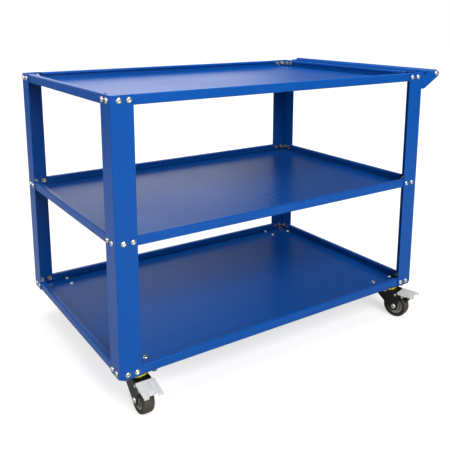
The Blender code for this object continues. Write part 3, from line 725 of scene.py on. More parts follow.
BLUE_PAINT = Finish(
    name="blue_powder_coat",
    slot="blue_paint",
    colour=(0.0012, 0.062, 0.285),
    second=(0.001, 0.056, 0.262),
    roughness=0.27,
    drift=0.05,
    specular=0.18,
    tone_scale=3.0,
    coarse=320.0,
    fine=1500.0,
    fine_share=0.2,
    depth=0.000012,
)
BLACK_PAINT = Finish(
    name="black_powder_coat",
    slot="black_paint",
    colour=(0.003, 0.003, 0.003),
    second=(0.005, 0.005, 0.005),
    roughness=0.34,
    specular=0.3,
    coarse=500.0,
    fine=1800.0,
    depth=0.00006,
    speck_colour=(0.08, 0.075, 0.065),
    speck_amount=0.25,
)
ZINC = Finish(
    name="zinc_plating",
    slot="zinc",
    colour=(0.66, 0.66, 0.63),
    second=(0.52, 0.50, 0.43),
    roughness=0.24,
    drift=0.12,
    metallic=0.95,
    tone_scale=120.0,
    coarse=900.0,
    fine=4000.0,
    depth=0.00001,
)
# Painted shade: a darkened copy of the zinc for the nuts, which sit in shade inside the tray walls under the
# lips and below the caster plates.
SHADED_ZINC = Finish(
    name="dull_zinc_nuts",
    slot="zinc",
    colour=(0.34, 0.34, 0.33),
    second=(0.26, 0.25, 0.22),
    roughness=0.36,
    drift=0.1,
    metallic=0.9,
    tone_scale=140.0,
    coarse=900.0,
    fine=4000.0,
    depth=0.00001,
)
BRIGHT_ZINC = Finish(
    name="bright_zinc_pressing",
    slot="bright_zinc",
    colour=(0.70, 0.70, 0.66),
    second=(0.54, 0.54, 0.505),
    roughness=0.42,
    drift=0.1,
    metallic=0.3,
    tone_scale=110.0,
    coarse=700.0,
    fine=2600.0,
    depth=0.00003,
    speck_colour=(0.35, 0.34, 0.3),
    speck_scale=260.0,
    speck_amount=0.35,
)
YELLOW_PLASTIC = Finish(
    name="yellow_dust_ring",
    slot="yellow_plastic",
    colour=(0.66, 0.53, 0.015),
    second=(0.56, 0.46, 0.02),
    roughness=0.42,
    tone_scale=30.0,
    depth=0.00002,
)
GREY_PLASTIC = Finish(
    name="grey_moulded_hub",
    slot="grey_plastic",
    colour=(0.25, 0.25, 0.235),
    second=(0.19, 0.19, 0.18),
    roughness=0.38,
    tone_scale=45.0,
    coarse=1100.0,
    fine=3200.0,
    depth=0.00003,
    speck_colour=(0.12, 0.11, 0.09),
    speck_scale=220.0,
    speck_amount=0.3,
)
RUBBER = Finish(
    name="dark_rubber",
    slot="rubber",
    colour=(0.016, 0.014, 0.011),
    second=(0.030, 0.026, 0.020),
    roughness=0.5,
    specular=0.3,
    drift=0.15,
    tone_scale=40.0,
    coarse=900.0,
    fine=3000.0,
    depth=0.00005,
    speck_colour=(0.13, 0.115, 0.085),
    speck_amount=0.3,
    worn=WEAR,
)

FINISHES = (BLUE_PAINT, BLACK_PAINT, ZINC, SHADED_ZINC, BRIGHT_ZINC, YELLOW_PLASTIC, GREY_PLASTIC, RUBBER)


@dataclass
class Paintshop:
    """Builds each finish once and dresses pieces in it."""

    materials: dict[str, bpy.types.Material] = field(default_factory=dict)

    def open(self) -> None:
        """Builds the shared groups and every finish."""
        groups = {"tone": tone_group(), "grain": surface_grain_group(), "specks": speck_group()}
        for finish in FINISHES:
            self.materials[finish.name] = finish.build(groups)

    def dress(self, piece: Object, finish: Finish) -> None:
        """Gives a piece one finish.

        Args:
            piece: the piece that changes.
            finish: the finish it gets.
        """
        piece.data.materials.clear()
        piece.data.materials.append(self.materials[finish.name])

    def dress_node(self, name: str, finish: Finish) -> None:
        """Gives a CAD node that stays in view its finish."""
        slots = frame["nodes"][name].material_slots
        for slot in slots:
            slot.material = self.materials[finish.name]

    def fit(self, piece: Object, finish: Finish, body: str, *nodes: str) -> Object:
        """Dresses a piece, hangs it on its body and lets it stand for CAD nodes.

        Args:
            piece: the finished piece.
            finish: what it is dressed in.
            body: the body it rides on.
            nodes: the CAD nodes it stands for, if any.

        Returns:
            The piece.
        """
        self.dress(piece, finish)
        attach(piece, body)
        if nodes:
            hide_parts(*nodes)
        LOG.info("%s: %d faces, on %s", piece.name, len(piece.data.polygons), body)
        return piece


# Fasteners ----------------------------------------------------------------------------------


@dataclass(frozen=True)
class Seat:
    """Where a fastener sits and the way its head faces."""

    place: Vector
    facing: Vector


def seat_carrier(name: str, seats: Iterable[Seat]) -> Object:
    """A mesh with one point for each seat, which knows the way it faces.

    Args:
        name: name of what is made.
        seats: where the fasteners sit.

    Returns:
        The finished piece.
    """
    listed = list(seats)
    mesh = bpy.data.meshes.new(name)
    mesh.from_pydata([seat.place for seat in listed], [], [])
    facing = mesh.attributes.new("facing", "FLOAT_VECTOR", "POINT")
    for i, seat in enumerate(listed):
        facing.data[i].vector = seat.facing
    piece = bpy.data.objects.new(name, mesh)
    bpy.context.scene.collection.objects.link(piece)
    return piece


def finish_instancing(maker: TreeMaker, shape: NodeSocket) -> None:
    """Ends a tree: puts a shape on every seat, each turned a little, and gives it its finish.

    Args:
        maker: the tree, which has the inputs Spin Seed and Finish.
        shape: the shape that is repeated, its head facing up.
    """
    facing = maker.node("GeometryNodeInputNamedAttribute", {"data_type": "FLOAT_VECTOR"}, Name="facing")
    aligned = maker.node("FunctionNodeAlignRotationToVector", {"axis": "Z"}, Vector=facing.outputs[0])
    spin = maker.node(
        "FunctionNodeRandomValue", {"data_type": "FLOAT"}, Seed=maker.given("Spin Seed"), i2=0.0, i3=math.pi
    )
    turn = maker.node("FunctionNodeAxisAngleToRotation", Axis=(0, 0, 1), Angle=spin.outputs[1])
    turned = maker.node(
        "FunctionNodeRotateRotation", {"rotation_space": "LOCAL"}, i0=aligned.outputs[0], i1=turn.outputs[0]
    )
    placed = maker.node(
        "GeometryNodeInstanceOnPoints", Points=maker.given(
            "Geometry"
        ), Instance=shape, Rotation=turned.outputs[0]
    )
    real = maker.node("GeometryNodeRealizeInstances", Geometry=placed.outputs[0])
    painted = maker.node("GeometryNodeSetMaterial", Geometry=real.outputs[0], Material=maker.given("Finish"))
    maker.give("Geometry", painted.outputs[0])


def fastener_tree(name: str, sizes: dict[str, float]) -> TreeMaker:
    """Starts a fastener tree with its usual inputs and a named input for each size in metres.

    Args:
        name: name of what is made.
        sizes: the named sizes and their usual values, in metres.

    Returns:
        The tree, ready for its shape.
    """
    maker = TreeMaker(name, "GeometryNodeTree")
    maker.add_input("Geometry", "Geometry")
    for size, value in sizes.items():
        maker.add_input(size, "Float", value)
    maker.add_input("Spin Seed", "Int", 1)
    maker.add_input("Finish", "Material")
    maker.add_output("Geometry", "Geometry")
    return maker


def math_node(maker: TreeMaker, operation: str, first: object, second: object) -> NodeSocket:
    """The result of one sum."""
    return maker.node("ShaderNodeMath", {"operation": operation}, i0=first, i1=second).outputs[0]


def scaled(maker: TreeMaker, shape: NodeSocket, across: NodeSocket, high: NodeSocket) -> NodeSocket:
    """A shape of size 1 stretched across and up."""
    scale = maker.node("ShaderNodeCombineXYZ", X=across, Y=across, Z=high)
    return maker.node("GeometryNodeTransform", Geometry=shape, Scale=scale.outputs[0]).outputs[0]


def lifted(maker: TreeMaker, shape: NodeSocket, height: NodeSocket) -> NodeSocket:
    """A shape moved up."""
    step = maker.node("ShaderNodeCombineXYZ", Z=height)
    return maker.node("GeometryNodeTransform", Geometry=shape, Translation=step.outputs[0]).outputs[0]


def rod(maker: TreeMaker, sides: int, radius: NodeSocket, low: NodeSocket, high: NodeSocket) -> NodeSocket:
    """An upright prism or cylinder between two heights.

    Args:
        maker: the node tree.
        sides: how many sides the section has.
        radius: radius.
        low: where it starts.
        high: where it ends.

    Returns:
        The socket with the result.
    """
    depth = math_node(maker, "SUBTRACT", high, low)
    middle = math_node(maker, "MULTIPLY", math_node(maker, "ADD", high, low), 0.5)
    body = maker.node("GeometryNodeMeshCylinder", Vertices=sides, Radius=radius, Depth=depth)
    return lifted(maker, body.outputs[0], middle)


def joined(maker: TreeMaker, operation: str, first: NodeSocket, second: NodeSocket) -> NodeSocket:
    """Two closed shapes united, cut or intersected.

    Args:
        maker: the node tree.
        operation: the Boolean operation.
        first: the first shape.
        second: the second shape.

    Returns:
        The socket with the result.
    """
    node = maker.node("GeometryNodeMeshBoolean", {"operation": operation, "solver": "EXACT"})
    maker.tree.links.new(first, node.inputs["Mesh 1" if operation == "DIFFERENCE" else "Mesh 2"])
    maker.tree.links.new(second, node.inputs["Mesh 2"])
    return node.outputs[0]


def button_screw_tree() -> bpy.types.NodeTree:
    """Button-head screws: a low dome with a hexagon socket, and a plain shank below the seat.

    Returns:
        The node group.
    """
    sizes = {
        "Head Radius": 7.0 * MM,
        "Head Height": 4.4 * MM,
        "Brim Height": 0.7 * MM,
        "Crown Cut": 0.5 * MM,
        "Socket Radius": 3.1 * MM,
        "Socket Depth": 3.2 * MM,
        "Shank Radius": 3.9 * MM,
        "Shank Length": 14.0 * MM,
    }
    maker = fastener_tree("button_screws", sizes)
    head, height = maker.given("Head Radius"), maker.given("Head Height")
    brim = maker.given("Brim Height")
    crown = math_node(maker, "SUBTRACT", height, maker.given("Crown Cut"))
    ball = maker.node("GeometryNodeMeshUVSphere", Segments=32, Rings=20, Radius=1.0)
    dome = lifted(
        maker, scaled(maker, ball.outputs[0], head, math_node(maker, "SUBTRACT", height, brim)), brim
    )
    above = joined(maker, "INTERSECT", dome, rod(maker, 32, head, brim, crown))
    low = math_node(maker, "MULTIPLY", maker.given("Shank Length"), -1.0)
    seated = joined(maker, "UNION", above, rod(maker, 32, head, place_zero(maker), brim))
    whole = joined(maker, "UNION", seated, rod(maker, 16, maker.given("Shank Radius"), low, brim))
    floor = math_node(maker, "SUBTRACT", height, maker.given("Socket Depth"))
    top = math_node(maker, "MULTIPLY", height, 2.0)
    socket = rod(maker, 6, maker.given("Socket Radius"), floor, top)
    finish_instancing(maker, joined(maker, "DIFFERENCE", whole, socket))
    return maker.tree


def place_zero(maker: TreeMaker) -> NodeSocket:
    """A socket that holds the seat's own height."""
    return maker.node("ShaderNodeValue").outputs[0]


def hex_nut_tree() -> bpy.types.NodeTree:
    """Hexagon nuts on washers, standing up from the seat, with their corners turned off.

    Returns:
        The node group.
    """
    sizes = {
        "Nut Radius": 7.5 * MM,
        "Nut Height": 6.5 * MM,
        "Corner Dome": 6.0 * MM,
        "Bore Radius": 4.0 * MM,
        "Washer Radius": 8.0 * MM,
        "Washer Height": 1.2 * MM,
    }
    maker = fastener_tree("hex_nuts", sizes)
    washer = maker.given("Washer Height")
    top = math_node(maker, "ADD", washer, maker.given("Nut Height"))
    hexagon = rod(maker, 6, maker.given("Nut Radius"), washer, top)
    ball = maker.node("GeometryNodeMeshUVSphere", Segments=32, Rings=24, Radius=1.0)
    across = math_node(maker, "MULTIPLY", maker.given("Nut Radius"), 1.03)
    turned = scaled(
        maker, ball.outputs[0], across, math_node(maker, "ADD", maker.given("Corner Dome"), washer)
    )
    middle = math_node(maker, "MULTIPLY", top, 0.45)
    nut = joined(maker, "INTERSECT", hexagon, lifted(maker, turned, middle))
    disc = rod(
        maker,
        32,
        maker.given("Washer Radius"),
        place_zero(maker),
        math_node(maker, "MULTIPLY", washer, 1.001),
    )
    stacked = joined(maker, "UNION", nut, disc)
    low = math_node(maker, "MULTIPLY", washer, -1.0)
    bore = rod(maker, 24, maker.given("Bore Radius"), low, math_node(maker, "MULTIPLY", top, 1.5))
    finish_instancing(maker, joined(maker, "DIFFERENCE", stacked, bore))
    return maker.tree


def rivet_tree() -> bpy.types.NodeTree:
    """Round rivet heads: a dome on a short shank that sinks below the seat.

    Returns:
        The node group.
    """
    sizes = {
        "Head Radius": 4.4 * MM, "Head Height": 1.8 * MM, "Shank Radius": 2.6 * MM, "Shank Length": 3.0 * MM
    }
    maker = fastener_tree("rivets", sizes)
    head, height = maker.given("Head Radius"), maker.given("Head Height")
    ball = maker.node("GeometryNodeMeshUVSphere", Segments=28, Rings=14, Radius=1.0)
    dome = scaled(maker, ball.outputs[0], head, height)
    above = joined(maker, "INTERSECT", dome, rod(maker, 28, head, place_zero(maker), height))
    low = math_node(maker, "MULTIPLY", maker.given("Shank Length"), -1.0)
    core = math_node(maker, "MULTIPLY", height, 0.5)
    finish_instancing(
        maker, joined(maker, "UNION", above, rod(maker, 16, maker.given("Shank Radius"), low, core))
    )
    return maker.tree


def tube_tree() -> bpy.types.NodeTree:
    """A straight round tube along Y, with a wall and softly rounded ends.

    Returns:
        The node group.
    """
    maker = TreeMaker("round_tube", "GeometryNodeTree")
    maker.add_input("Geometry", "Geometry")
    for name, value in {
        "Outer Radius": 11 * MM, "Wall": 1.5 * MM, "Length": 0.6, "End Rounding": 0.4 * MM
    }.items():
        maker.add_input(name, "Float", value)
    maker.add_input("Centre", "Vector")
    maker.add_input("Finish", "Material")
    maker.add_output("Geometry", "Geometry")
    half_wall = math_node(maker, "MULTIPLY", maker.given("Wall"), 0.5)
    middle = math_node(maker, "SUBTRACT", maker.given("Outer Radius"), half_wall)
    ring = maker.node("GeometryNodeCurvePrimitiveCircle", Resolution=72, Radius=middle)
    section = maker.node(
        "GeometryNodeCurvePrimitiveQuadrilateral", Width=maker.given("Wall"), Height=maker.given("Length")
    )
    rounded = maker.node(
        "GeometryNodeFilletCurve",
        None,
        Curve=section.outputs[0],
        Radius=maker.given("End Rounding"),
        Limit_Radius=True,
    )
    swept = maker.node("GeometryNodeCurveToMesh", Curve=ring.outputs[0], Profile_Curve=rounded.outputs[0])
    placed = maker.node(
        "GeometryNodeTransform",
        Geometry=swept.outputs[0],
        Rotation=(math.pi / 2, 0, 0),
        Translation=maker.given("Centre"),
    )
    real = maker.node("GeometryNodeRealizeInstances", Geometry=placed.outputs[0])
    painted = maker.node("GeometryNodeSetMaterial", Geometry=real.outputs[0], Material=maker.given("Finish"))
    maker.give("Geometry", painted.outputs[0])
    return maker.tree


# Frame --------------------------------------------------------------------------------------


@dataclass
class BoltPattern:
    """Where the bolts of a frame corner sit: distances in from the corner and down from a rim."""

    inner: float = 20 * MM
    outer: float = 44 * MM
    drop: float = 12 * MM
    hole: float = 4.4 * MM

    @property
    def offsets(self) -> tuple[float, float]:
        """The two distances from the corner."""
        return self.inner, self.outer

    def add_holes(self, shape: bmesh.types.BMesh, heights: Iterable[float], reach: float) -> None:
        """Adds rods through both walls of a corner at (0, 0).

        Args:
            shape: the shape that gets the rods.
            heights: the bolts' heights.
            reach: how far the rods run to each side of the walls.
        """
        for height in heights:
            for offset in self.offsets:
                add_rod(shape, (offset, -reach, height), (offset, reach, height), self.hole)
                add_rod(shape, (-reach, offset, height), (reach, offset, height), self.hole)


@dataclass
class CornerPosts:
    """The four folded angle posts."""

    layout: Layout
    bolts: BoltPattern
    sheet: float = 2.0 * MM
    fold: float = 3.5 * MM
    foot_cut: float = 9 * MM
    edge: float = 0.4 * MM

    def section(self) -> list[Point2]:
        """The angle section with a round fold, its corner at (0, 0).

        Returns:
            The outline's points.
        """
        flange, sheet, fold = self.layout.flange, self.sheet, self.fold
        inner = fold - sheet
        outline = arc((fold, fold), fold, math.pi, 1.5 * math.pi, 8)
        outline += [(flange, 0), (flange, sheet)]
        outline += arc((fold, fold), inner, 1.5 * math.pi, math.pi, 6)
        return outline + [(sheet, flange), (0, flange)]

    def build_post(self, corner: Corner) -> Object:
        """Makes the post of one corner.

        Args:
            corner: which corner of the frame.

        Returns:
            The finished piece.
        """
        layout = self.layout
        foot, top = layout.low.z, layout.high.z
        shape = bmesh.new()
        add_prism(shape, self.section(), foot, top)
        cut_through = Vector((0, 0, foot + self.foot_cut))
        everything = list(shape.verts) + list(shape.edges) + list(shape.faces)
        cut = bmesh.ops.bisect_plane(
            shape, geom=everything, plane_co=cut_through, plane_no=(-1, -1, -1), clear_outer=True
        )
        rim = [item for item in cut["geom_cut"] if isinstance(item, bmesh.types.BMEdge)]
        bmesh.ops.contextual_create(shape, geom=rim)
        matrix = layout.matrix(corner)
        piece = new_piece(f"corner_post_{corner.label}", shape, matrix)
        holes = bmesh.new()
        self.bolts.add_holes(holes, [high - self.bolts.drop for high in layout.tray_tops.values()], 8 * MM)
        carve(piece, holes, Solid.CUT, matrix)
        soften(piece, self.edge)
        return piece

    def build(self, shop: Paintshop) -> None:
        """Makes and dresses all four."""
        for corner in Corner:
            shop.fit(self.build_post(corner), BLUE_PAINT, ROOT_BODY, f"post_{corner.label}")


@dataclass
class TrayPans:
    """The three folded pans: floor, wall, inward lip and a short return under the lip."""

    layout: Layout
    bolts: BoltPattern
    inset: float = 2.3 * MM
    sheet: float = 1.5 * MM
    lip: float = 13 * MM
    hem: float = 7 * MM
    lip_inset: float = 40 * MM
    fold: float = 2.6 * MM
    edge: float = 0.3 * MM
    caster_holes: tuple[tuple[float, float], ...] = ()

    def rows(self) -> list[Point2]:
        """Outer skin from the floor's edge to the end of the return, as (distance in, height).

        Returns:
            The outline's points.
        """
        r, high, lip = self.fold, self.layout.tray_rim, self.lip
        quarter = math.pi / 2
        skin = arc((r, r), r, 3 * quarter, 2 * quarter, 5)
        skin += arc((r, high - r), r, 2 * quarter, quarter, 5)
        skin += arc((lip - r, high - r), r, quarter, 0, 5)
        skin.append((lip, high - self.hem))
        return [(d, h) for d, h in skin]

    def build_tray(self, level: Level) -> Object:
        """Makes one tray.

        Args:
            level: which of the three trays.

        Returns:
            The finished piece.
        """
        layout = self.layout
        skin = self.rows()
        size_x = layout.high.x - layout.low.x - 2 * self.inset
        size_y = layout.high.y - layout.low.y - 2 * self.inset
        shape = bmesh.new()
        made: dict[tuple[float, float, float], bmesh.types.BMVert] = {}

        def point(x: float, y: float, h: float) -> bmesh.types.BMVert:
            """The skin's vertex at a place, made once.

            Args:
                x: distance along x.
                y: distance along y.
                h: height.

            Returns:
                The vertex there.
            """
            key = (round(x, 7), round(y, 7), round(h, 7))
            if key not in made:
                made[key] = shape.verts.new((x, y, h))
            return made[key]

        r, high = self.fold, layout.tray_rim
        wall_rows = [(d, h) for d, h in skin if d <= r + 1e-9 and h <= high - r + 1e-9]
        lip_rows = [wall_rows[-1]] + [(d, h) for d, h in skin if h > high - r + 1e-9 or d > r + 1e-9]
        lip_rows = [row for i, row in enumerate(lip_rows) if i == 0 or row[1] > high / 2]
        corner_top = high
        for along in range(2):
            length, width = (size_x, size_y) if along == 0 else (size_y, size_x)
            for far in (False, True):

                def at(s: float, d: float, h: float) -> bmesh.types.BMVert:
                    """A vertex from the distance along a side, the distance in, and the height."""
                    across = width - d if far else d
                    return point(s, across, h) if along == 0 else point(across, s, h)

                start, end = self.lip_inset, length - self.lip_inset
                for (d0, h0), (d1, h1) in zip(wall_rows, wall_rows[1:]):
                    shape.faces.new((at(d0, d0, h0), at(start, d0, h0), at(start, d1, h1), at(d1, d1, h1)))
                    shape.faces.new((at(start, d0, h0), at(end, d0, h0), at(end, d1, h1), at(start, d1, h1)))
                    ends = (
                        at(end, d0, h0), at(length - d0, d0, h0), at(length - d1, d1, h1), at(end, d1, h1)
                    )
                    shape.faces.new(ends)
                d0, h0 = wall_rows[-1]
                shape.faces.new(
                    (at(d0, d0, h0), at(start, d0, h0), at(start, d0, corner_top), at(d0, d0, corner_top))
                )
                last = (
                    at(end, d0, h0),
                    at(length - d0, d0, h0),
                    at(length - d0, d0, corner_top),
                    at(end, d0, corner_top),
                )
                shape.faces.new(last)
                for (d0, h0), (d1, h1) in zip(lip_rows, lip_rows[1:]):
                    shape.faces.new(
                        (
                            at(start + d0, d0, h0),
                            at(end - d0, d0, h0),
                            at(end - d1, d1, h1),
                            at(start + d1, d1, h1),
                        ),
                    )
        floor = self.fold
        corners = (
            (floor, floor), (size_x - floor, floor), (size_x - floor, size_y - floor), (floor, size_y - floor)
        )
        self.add_floor(shape, corners)
        bmesh.ops.remove_doubles(shape, verts=shape.verts, dist=MERGE_DISTANCE)
        matrix = Matrix.Translation((layout.low.x + self.inset, layout.low.y + self.inset, 0))
        matrix = Matrix.Translation((0, 0, layout.tray_tops[level] - high)) @ matrix
        return self.thicken(shape, level, matrix)

    def add_floor(self, shape: bmesh.types.BMesh, corners: Sequence[Point2]) -> None:
        """Closes the floor with one face that meets every vertex of the walls' lowest row.

        Args:
            shape: the shape that grows.
            corners: the floor's corners.
        """
        low = [vertex for vertex in shape.verts if abs(vertex.co.z) < 1e-9]
        middle = Vector((sum(c[0] for c in corners) / 4, sum(c[1] for c in corners) / 4))

        def round_order(vertex: bmesh.types.BMVert) -> float:
            """Angle seen from the middle."""
            return math.atan2(vertex.co.y - middle.y, vertex.co.x - middle.x)

        shape.faces.new(sorted(low, key=round_order))

    def thicken(self, shape: bmesh.types.BMesh, level: Level, matrix: Matrix) -> Object:
        """Turns the outer skin into a sheet, cuts its holes and rounds its edges.

        Args:
            shape: the outer skin, which is used up.
            level: which of the three trays.
            matrix: takes the piece to its place.

        Returns:
            The finished piece.
        """
        bmesh.ops.recalc_face_normals(shape, faces=shape.faces)
        floor = next(face for face in shape.faces if len(face.verts) > 8)
        if floor.normal.z > 0:
            bmesh.ops.reverse_faces(shape, faces=shape.faces)
        bmesh.ops.transform(shape, matrix=matrix, verts=shape.verts)
        piece = link_shape(f"tray_pan_{level.value}", shape)
        solid = piece.modifiers.new("sheet", "SOLIDIFY")
        solid.thickness = self.sheet
        solid.offset = -1.0
        solid.use_even_offset = True
        apply_modifiers(piece)
        layout = self.layout
        top = layout.tray_tops[level]
        for corner in Corner:
            holes = bmesh.new()
            self.bolts.add_holes(holes, [top - self.bolts.drop], 8 * MM)
            carve(piece, holes, Solid.CUT, layout.matrix(corner))
        if level is Level.BOTTOM:
            holes = bmesh.new()
            base = layout.low.z
            for x, y in self.caster_holes:
                add_rod(holes, (x, y, base - 5 * MM), (x, y, base + 5 * MM), self.bolts.hole)
            carve(piece, holes, Solid.CUT)
        soften(piece, self.edge, 2, 60.0)
        return piece

    def build(self, shop: Paintshop) -> None:
        """Makes and dresses all three."""
        for level in Level:
            shop.fit(self.build_tray(level), BLUE_PAINT, ROOT_BODY, f"tray_{level.value}")


@dataclass
class PushHandle:
    """The tube across one end, its two bent brackets and its end bolts."""

    layout: Layout
    bolts: BoltPattern
    reach: float = 62 * MM
    drop: float = 5 * MM
    tube_radius: float = 11 * MM
    wall: float = 1.5 * MM
    sheet: float = 2.0 * MM
    fold: float = 3.2 * MM
    end_radius: float = 13 * MM
    depth: float = 49 * MM
    foot: float = 11 * MM
    shoulder: float = 17 * MM
    shoulder_drop: float = 6.5 * MM
    top_drop: float = 2 * MM
    edge: float = 0.4 * MM

    @property
    def face(self) -> float:
        """X of the brackets' seat on the posts."""
        return self.layout.high.x + JOINT_GAP

    def axis(self) -> tuple[float, float]:
        """Middle of the tube, in x and z."""
        return self.face + self.reach, self.layout.high.z - self.drop

    def side_view(self) -> list[Point2]:
        """The bracket seen from the side, with its flange's edge at x = 0 and the frame top at 0.

        Returns:
            The outline's points.
        """
        centre = (self.reach, -self.drop)
        shoulder = (self.shoulder, -self.shoulder_drop)
        foot = (self.foot, -self.depth)
        margin = 5 * MM
        upper = tangent_angle(shoulder, centre, self.end_radius, -1)
        lower = tangent_angle(foot, centre, self.end_radius, 1) - 2 * math.pi
        while lower > upper:
            lower -= 2 * math.pi
        outline = [(-margin, -self.top_drop), (self.sheet + self.fold / 2, -self.top_drop)]
        outline += [(self.sheet + self.fold / 2, -self.shoulder_drop), shoulder]
        outline += arc(centre, self.end_radius, upper, lower, 28)
        return outline + [foot, (-margin, -self.depth)]

    def section(self, length: float) -> list[Point2]:
        """The bracket seen from above: flange on the post, round fold and plate, corner at (0, 0).

        Args:
            length: size along x.

        Returns:
            The outline's points.
        """
        sheet, fold, flange = self.sheet, self.fold, self.layout.flange
        outline = arc((fold, fold), fold, math.pi, 1.5 * math.pi, 6)
        outline += [(length, 0), (length, sheet)]
        outline += arc((fold, fold), fold - sheet, 1.5 * math.pi, math.pi, 5)
        return outline + [(sheet, flange), (0, flange)]

    def build_bracket(self, front: bool) -> Object:
        """Makes one bracket.

        Args:
            front: whether it is the near bracket.

        Returns:
            The finished piece.
        """
        layout = self.layout
        top = layout.high.z
        shape = bmesh.new()
        add_prism(shape, self.section(self.reach + 2 * self.end_radius), top - 2 * self.depth, top)
        y = layout.low.y if front else layout.high.y
        inward = 1 if front else -1
        matrix = Matrix.Translation((self.face, y, 0)) @ Matrix.Diagonal((1, inward, 1, 1))
        piece = new_piece("handle_bracket_" + ("near" if front else "far"), shape, matrix)
        keep = bmesh.new()
        outline = [(x, top + z) for x, z in self.side_view()]
        add_prism(keep, outline, -10 * MM, layout.flange + 10 * MM, "y")
        carve(piece, keep, Solid.KEEP, matrix)
        holes = bmesh.new()
        height = top - self.bolts.drop
        for offset in self.bolts.offsets:
            add_rod(holes, (-8 * MM, offset, height), (8 * MM, offset, height), self.bolts.hole)
        add_rod(
            holes,
            (self.reach, -8 * MM, top - self.drop),
            (self.reach, 8 * MM, top - self.drop),
            self.bolts.hole,
        )
        carve(piece, holes, Solid.CUT, matrix)
        soften(piece, self.edge)
        return piece

    def build_tube(self, shop: Paintshop) -> Object:
        """Grows the tube by its tree.

        Args:
            shop: dresses each piece.

        Returns:
            The finished piece.
        """
        x, z = self.axis()
        length = self.layout.high.y - self.layout.low.y - 2 * (self.sheet + JOINT_GAP)
        centre = (x, (self.layout.high.y + self.layout.low.y) / 2, z)
        piece = seat_carrier("push_tube", [Seat(Vector((0, 0, 0)), Vector((0, 0, 1)))])
        values = {
            "Outer Radius": self.tube_radius,
            "Wall": self.wall,
            "Length": length,
            "End Rounding": 0.4 * MM,
            "Centre": centre,
            "Finish": shop.materials[BLUE_PAINT.name],
        }
        grow(piece, tube_tree(), values)
        return piece

    def build(self, shop: Paintshop) -> None:
        """Makes and dresses the handle.

        Args:
            shop: dresses each piece.
        """
        shop.fit(self.build_tube(shop), BLUE_PAINT, ROOT_BODY, "handle_tube")
        for front, side in ((True, "front"), (False, "rear")):
            shop.fit(self.build_bracket(front), BLUE_PAINT, ROOT_BODY, f"handle_bracket_{side}")
            shop.dress_node(f"tube_plug_{side}", ZINC)

    def end_bolt_seats(self) -> list[Seat]:
        """Seats of the bolts that close the tube's ends.

        Returns:
            The seats.
        """
        x, z = self.axis()
        low, high = self.layout.low.y - JOINT_GAP, self.layout.high.y + JOINT_GAP
        return [Seat(Vector((x, low, z)), Vector((0, -1, 0))), Seat(Vector((x, high, z)), Vector((0, 1, 0)))]


@dataclass
class FrameFasteners:
    """Bolts and nuts of the trays and of the caster plates."""

    layout: Layout
    bolts: BoltPattern
    pans: TrayPans
    handle: PushHandle
    handle_sheet: float = 2.3 * MM
    plate_bolt_length: float = 11.6 * MM
    plate_underside: float = 97.2 * MM

    def corner_seats(self) -> tuple[list[Seat], list[Seat]]:
        """Seats of the tray bolts and of their nuts.

        Returns:
            Seats of the heads, and of the nuts.
        """
        heads: list[Seat] = []
        nuts: list[Seat] = []
        wall = self.pans.inset + self.pans.sheet
        for corner in Corner:
            sx, sy = corner.inward
            origin = self.layout.corner(corner)
            for level, top in self.layout.tray_tops.items():
                height = top - self.bolts.drop
                for offset in self.bolts.offsets:
                    at_y = origin + Vector((sx * offset, 0, height))
                    heads.append(Seat(at_y, Vector((0, -sy, 0))))
                    nuts.append(Seat(at_y + Vector((0, sy * wall, 0)), Vector((0, sy, 0))))
                    at_x = origin + Vector((0, sy * offset, height))
                    proud = self.handle_sheet if level is Level.TOP and sx < 0 else 0.0
                    heads.append(Seat(at_x - Vector((sx * proud, 0, 0)), Vector((-sx, 0, 0))))
                    nuts.append(Seat(at_x + Vector((sx * wall, 0, 0)), Vector((sx, 0, 0))))
        return heads, nuts

    def plate_seats(self) -> tuple[list[Seat], list[Seat]]:
        """Seats of the caster bolts on the lowest floor and of their nuts below the plates.

        Returns:
            Seats of the heads, and of the nuts.
        """
        floor = self.layout.low.z + self.pans.sheet
        up, down = Vector((0, 0, 1)), Vector((0, 0, -1))
        heads = [Seat(Vector((x, y, floor)), up) for x, y in self.pans.caster_holes]
        nuts = [Seat(Vector((x, y, self.plate_underside)), down) for x, y in self.pans.caster_holes]
        return heads, nuts

    def build(self, shop: Paintshop) -> None:
        """Grows all fasteners of the frame.

        Args:
            shop: dresses each piece.
        """
        screw, nut = button_screw_tree(), hex_nut_tree()
        tray_heads, tray_nuts = self.corner_seats()
        plate_heads, plate_nuts = self.plate_seats()
        sets = (
            ("tray_bolts", tray_heads, screw, ZINC, {"Shank Length": 14 * MM, "Spin Seed": 3}),
            (
                "plate_bolts",
                plate_heads,
                screw,
                ZINC,
                {"Shank Length": self.plate_bolt_length, "Spin Seed": 5},
            ),
            (
                "handle_end_bolts",
                self.handle.end_bolt_seats(),
                screw,
                ZINC,
                {"Shank Length": 16 * MM, "Spin Seed": 7},
            ),
            # The nuts wear the zinc darkened as painted shade.
            ("tray_nuts", tray_nuts, nut, SHADED_ZINC, {"Spin Seed": 11}),
            ("plate_nuts", plate_nuts, nut, SHADED_ZINC, {"Nut Height": 5.3 * MM, "Spin Seed": 13}),
        )
        stands_for = {"handle_end_bolts": ("handle_bolt_front", "handle_bolt_rear")}
        for name, seats, tree, finish, values in sets:
            piece = seat_carrier(name, seats)
            grow(piece, tree, {**values, "Finish": shop.materials[finish.name]})
            shop.fit(piece, finish, ROOT_BODY, *stands_for.get(name, ()))


# Casters ------------------------------------------------------------------------------------


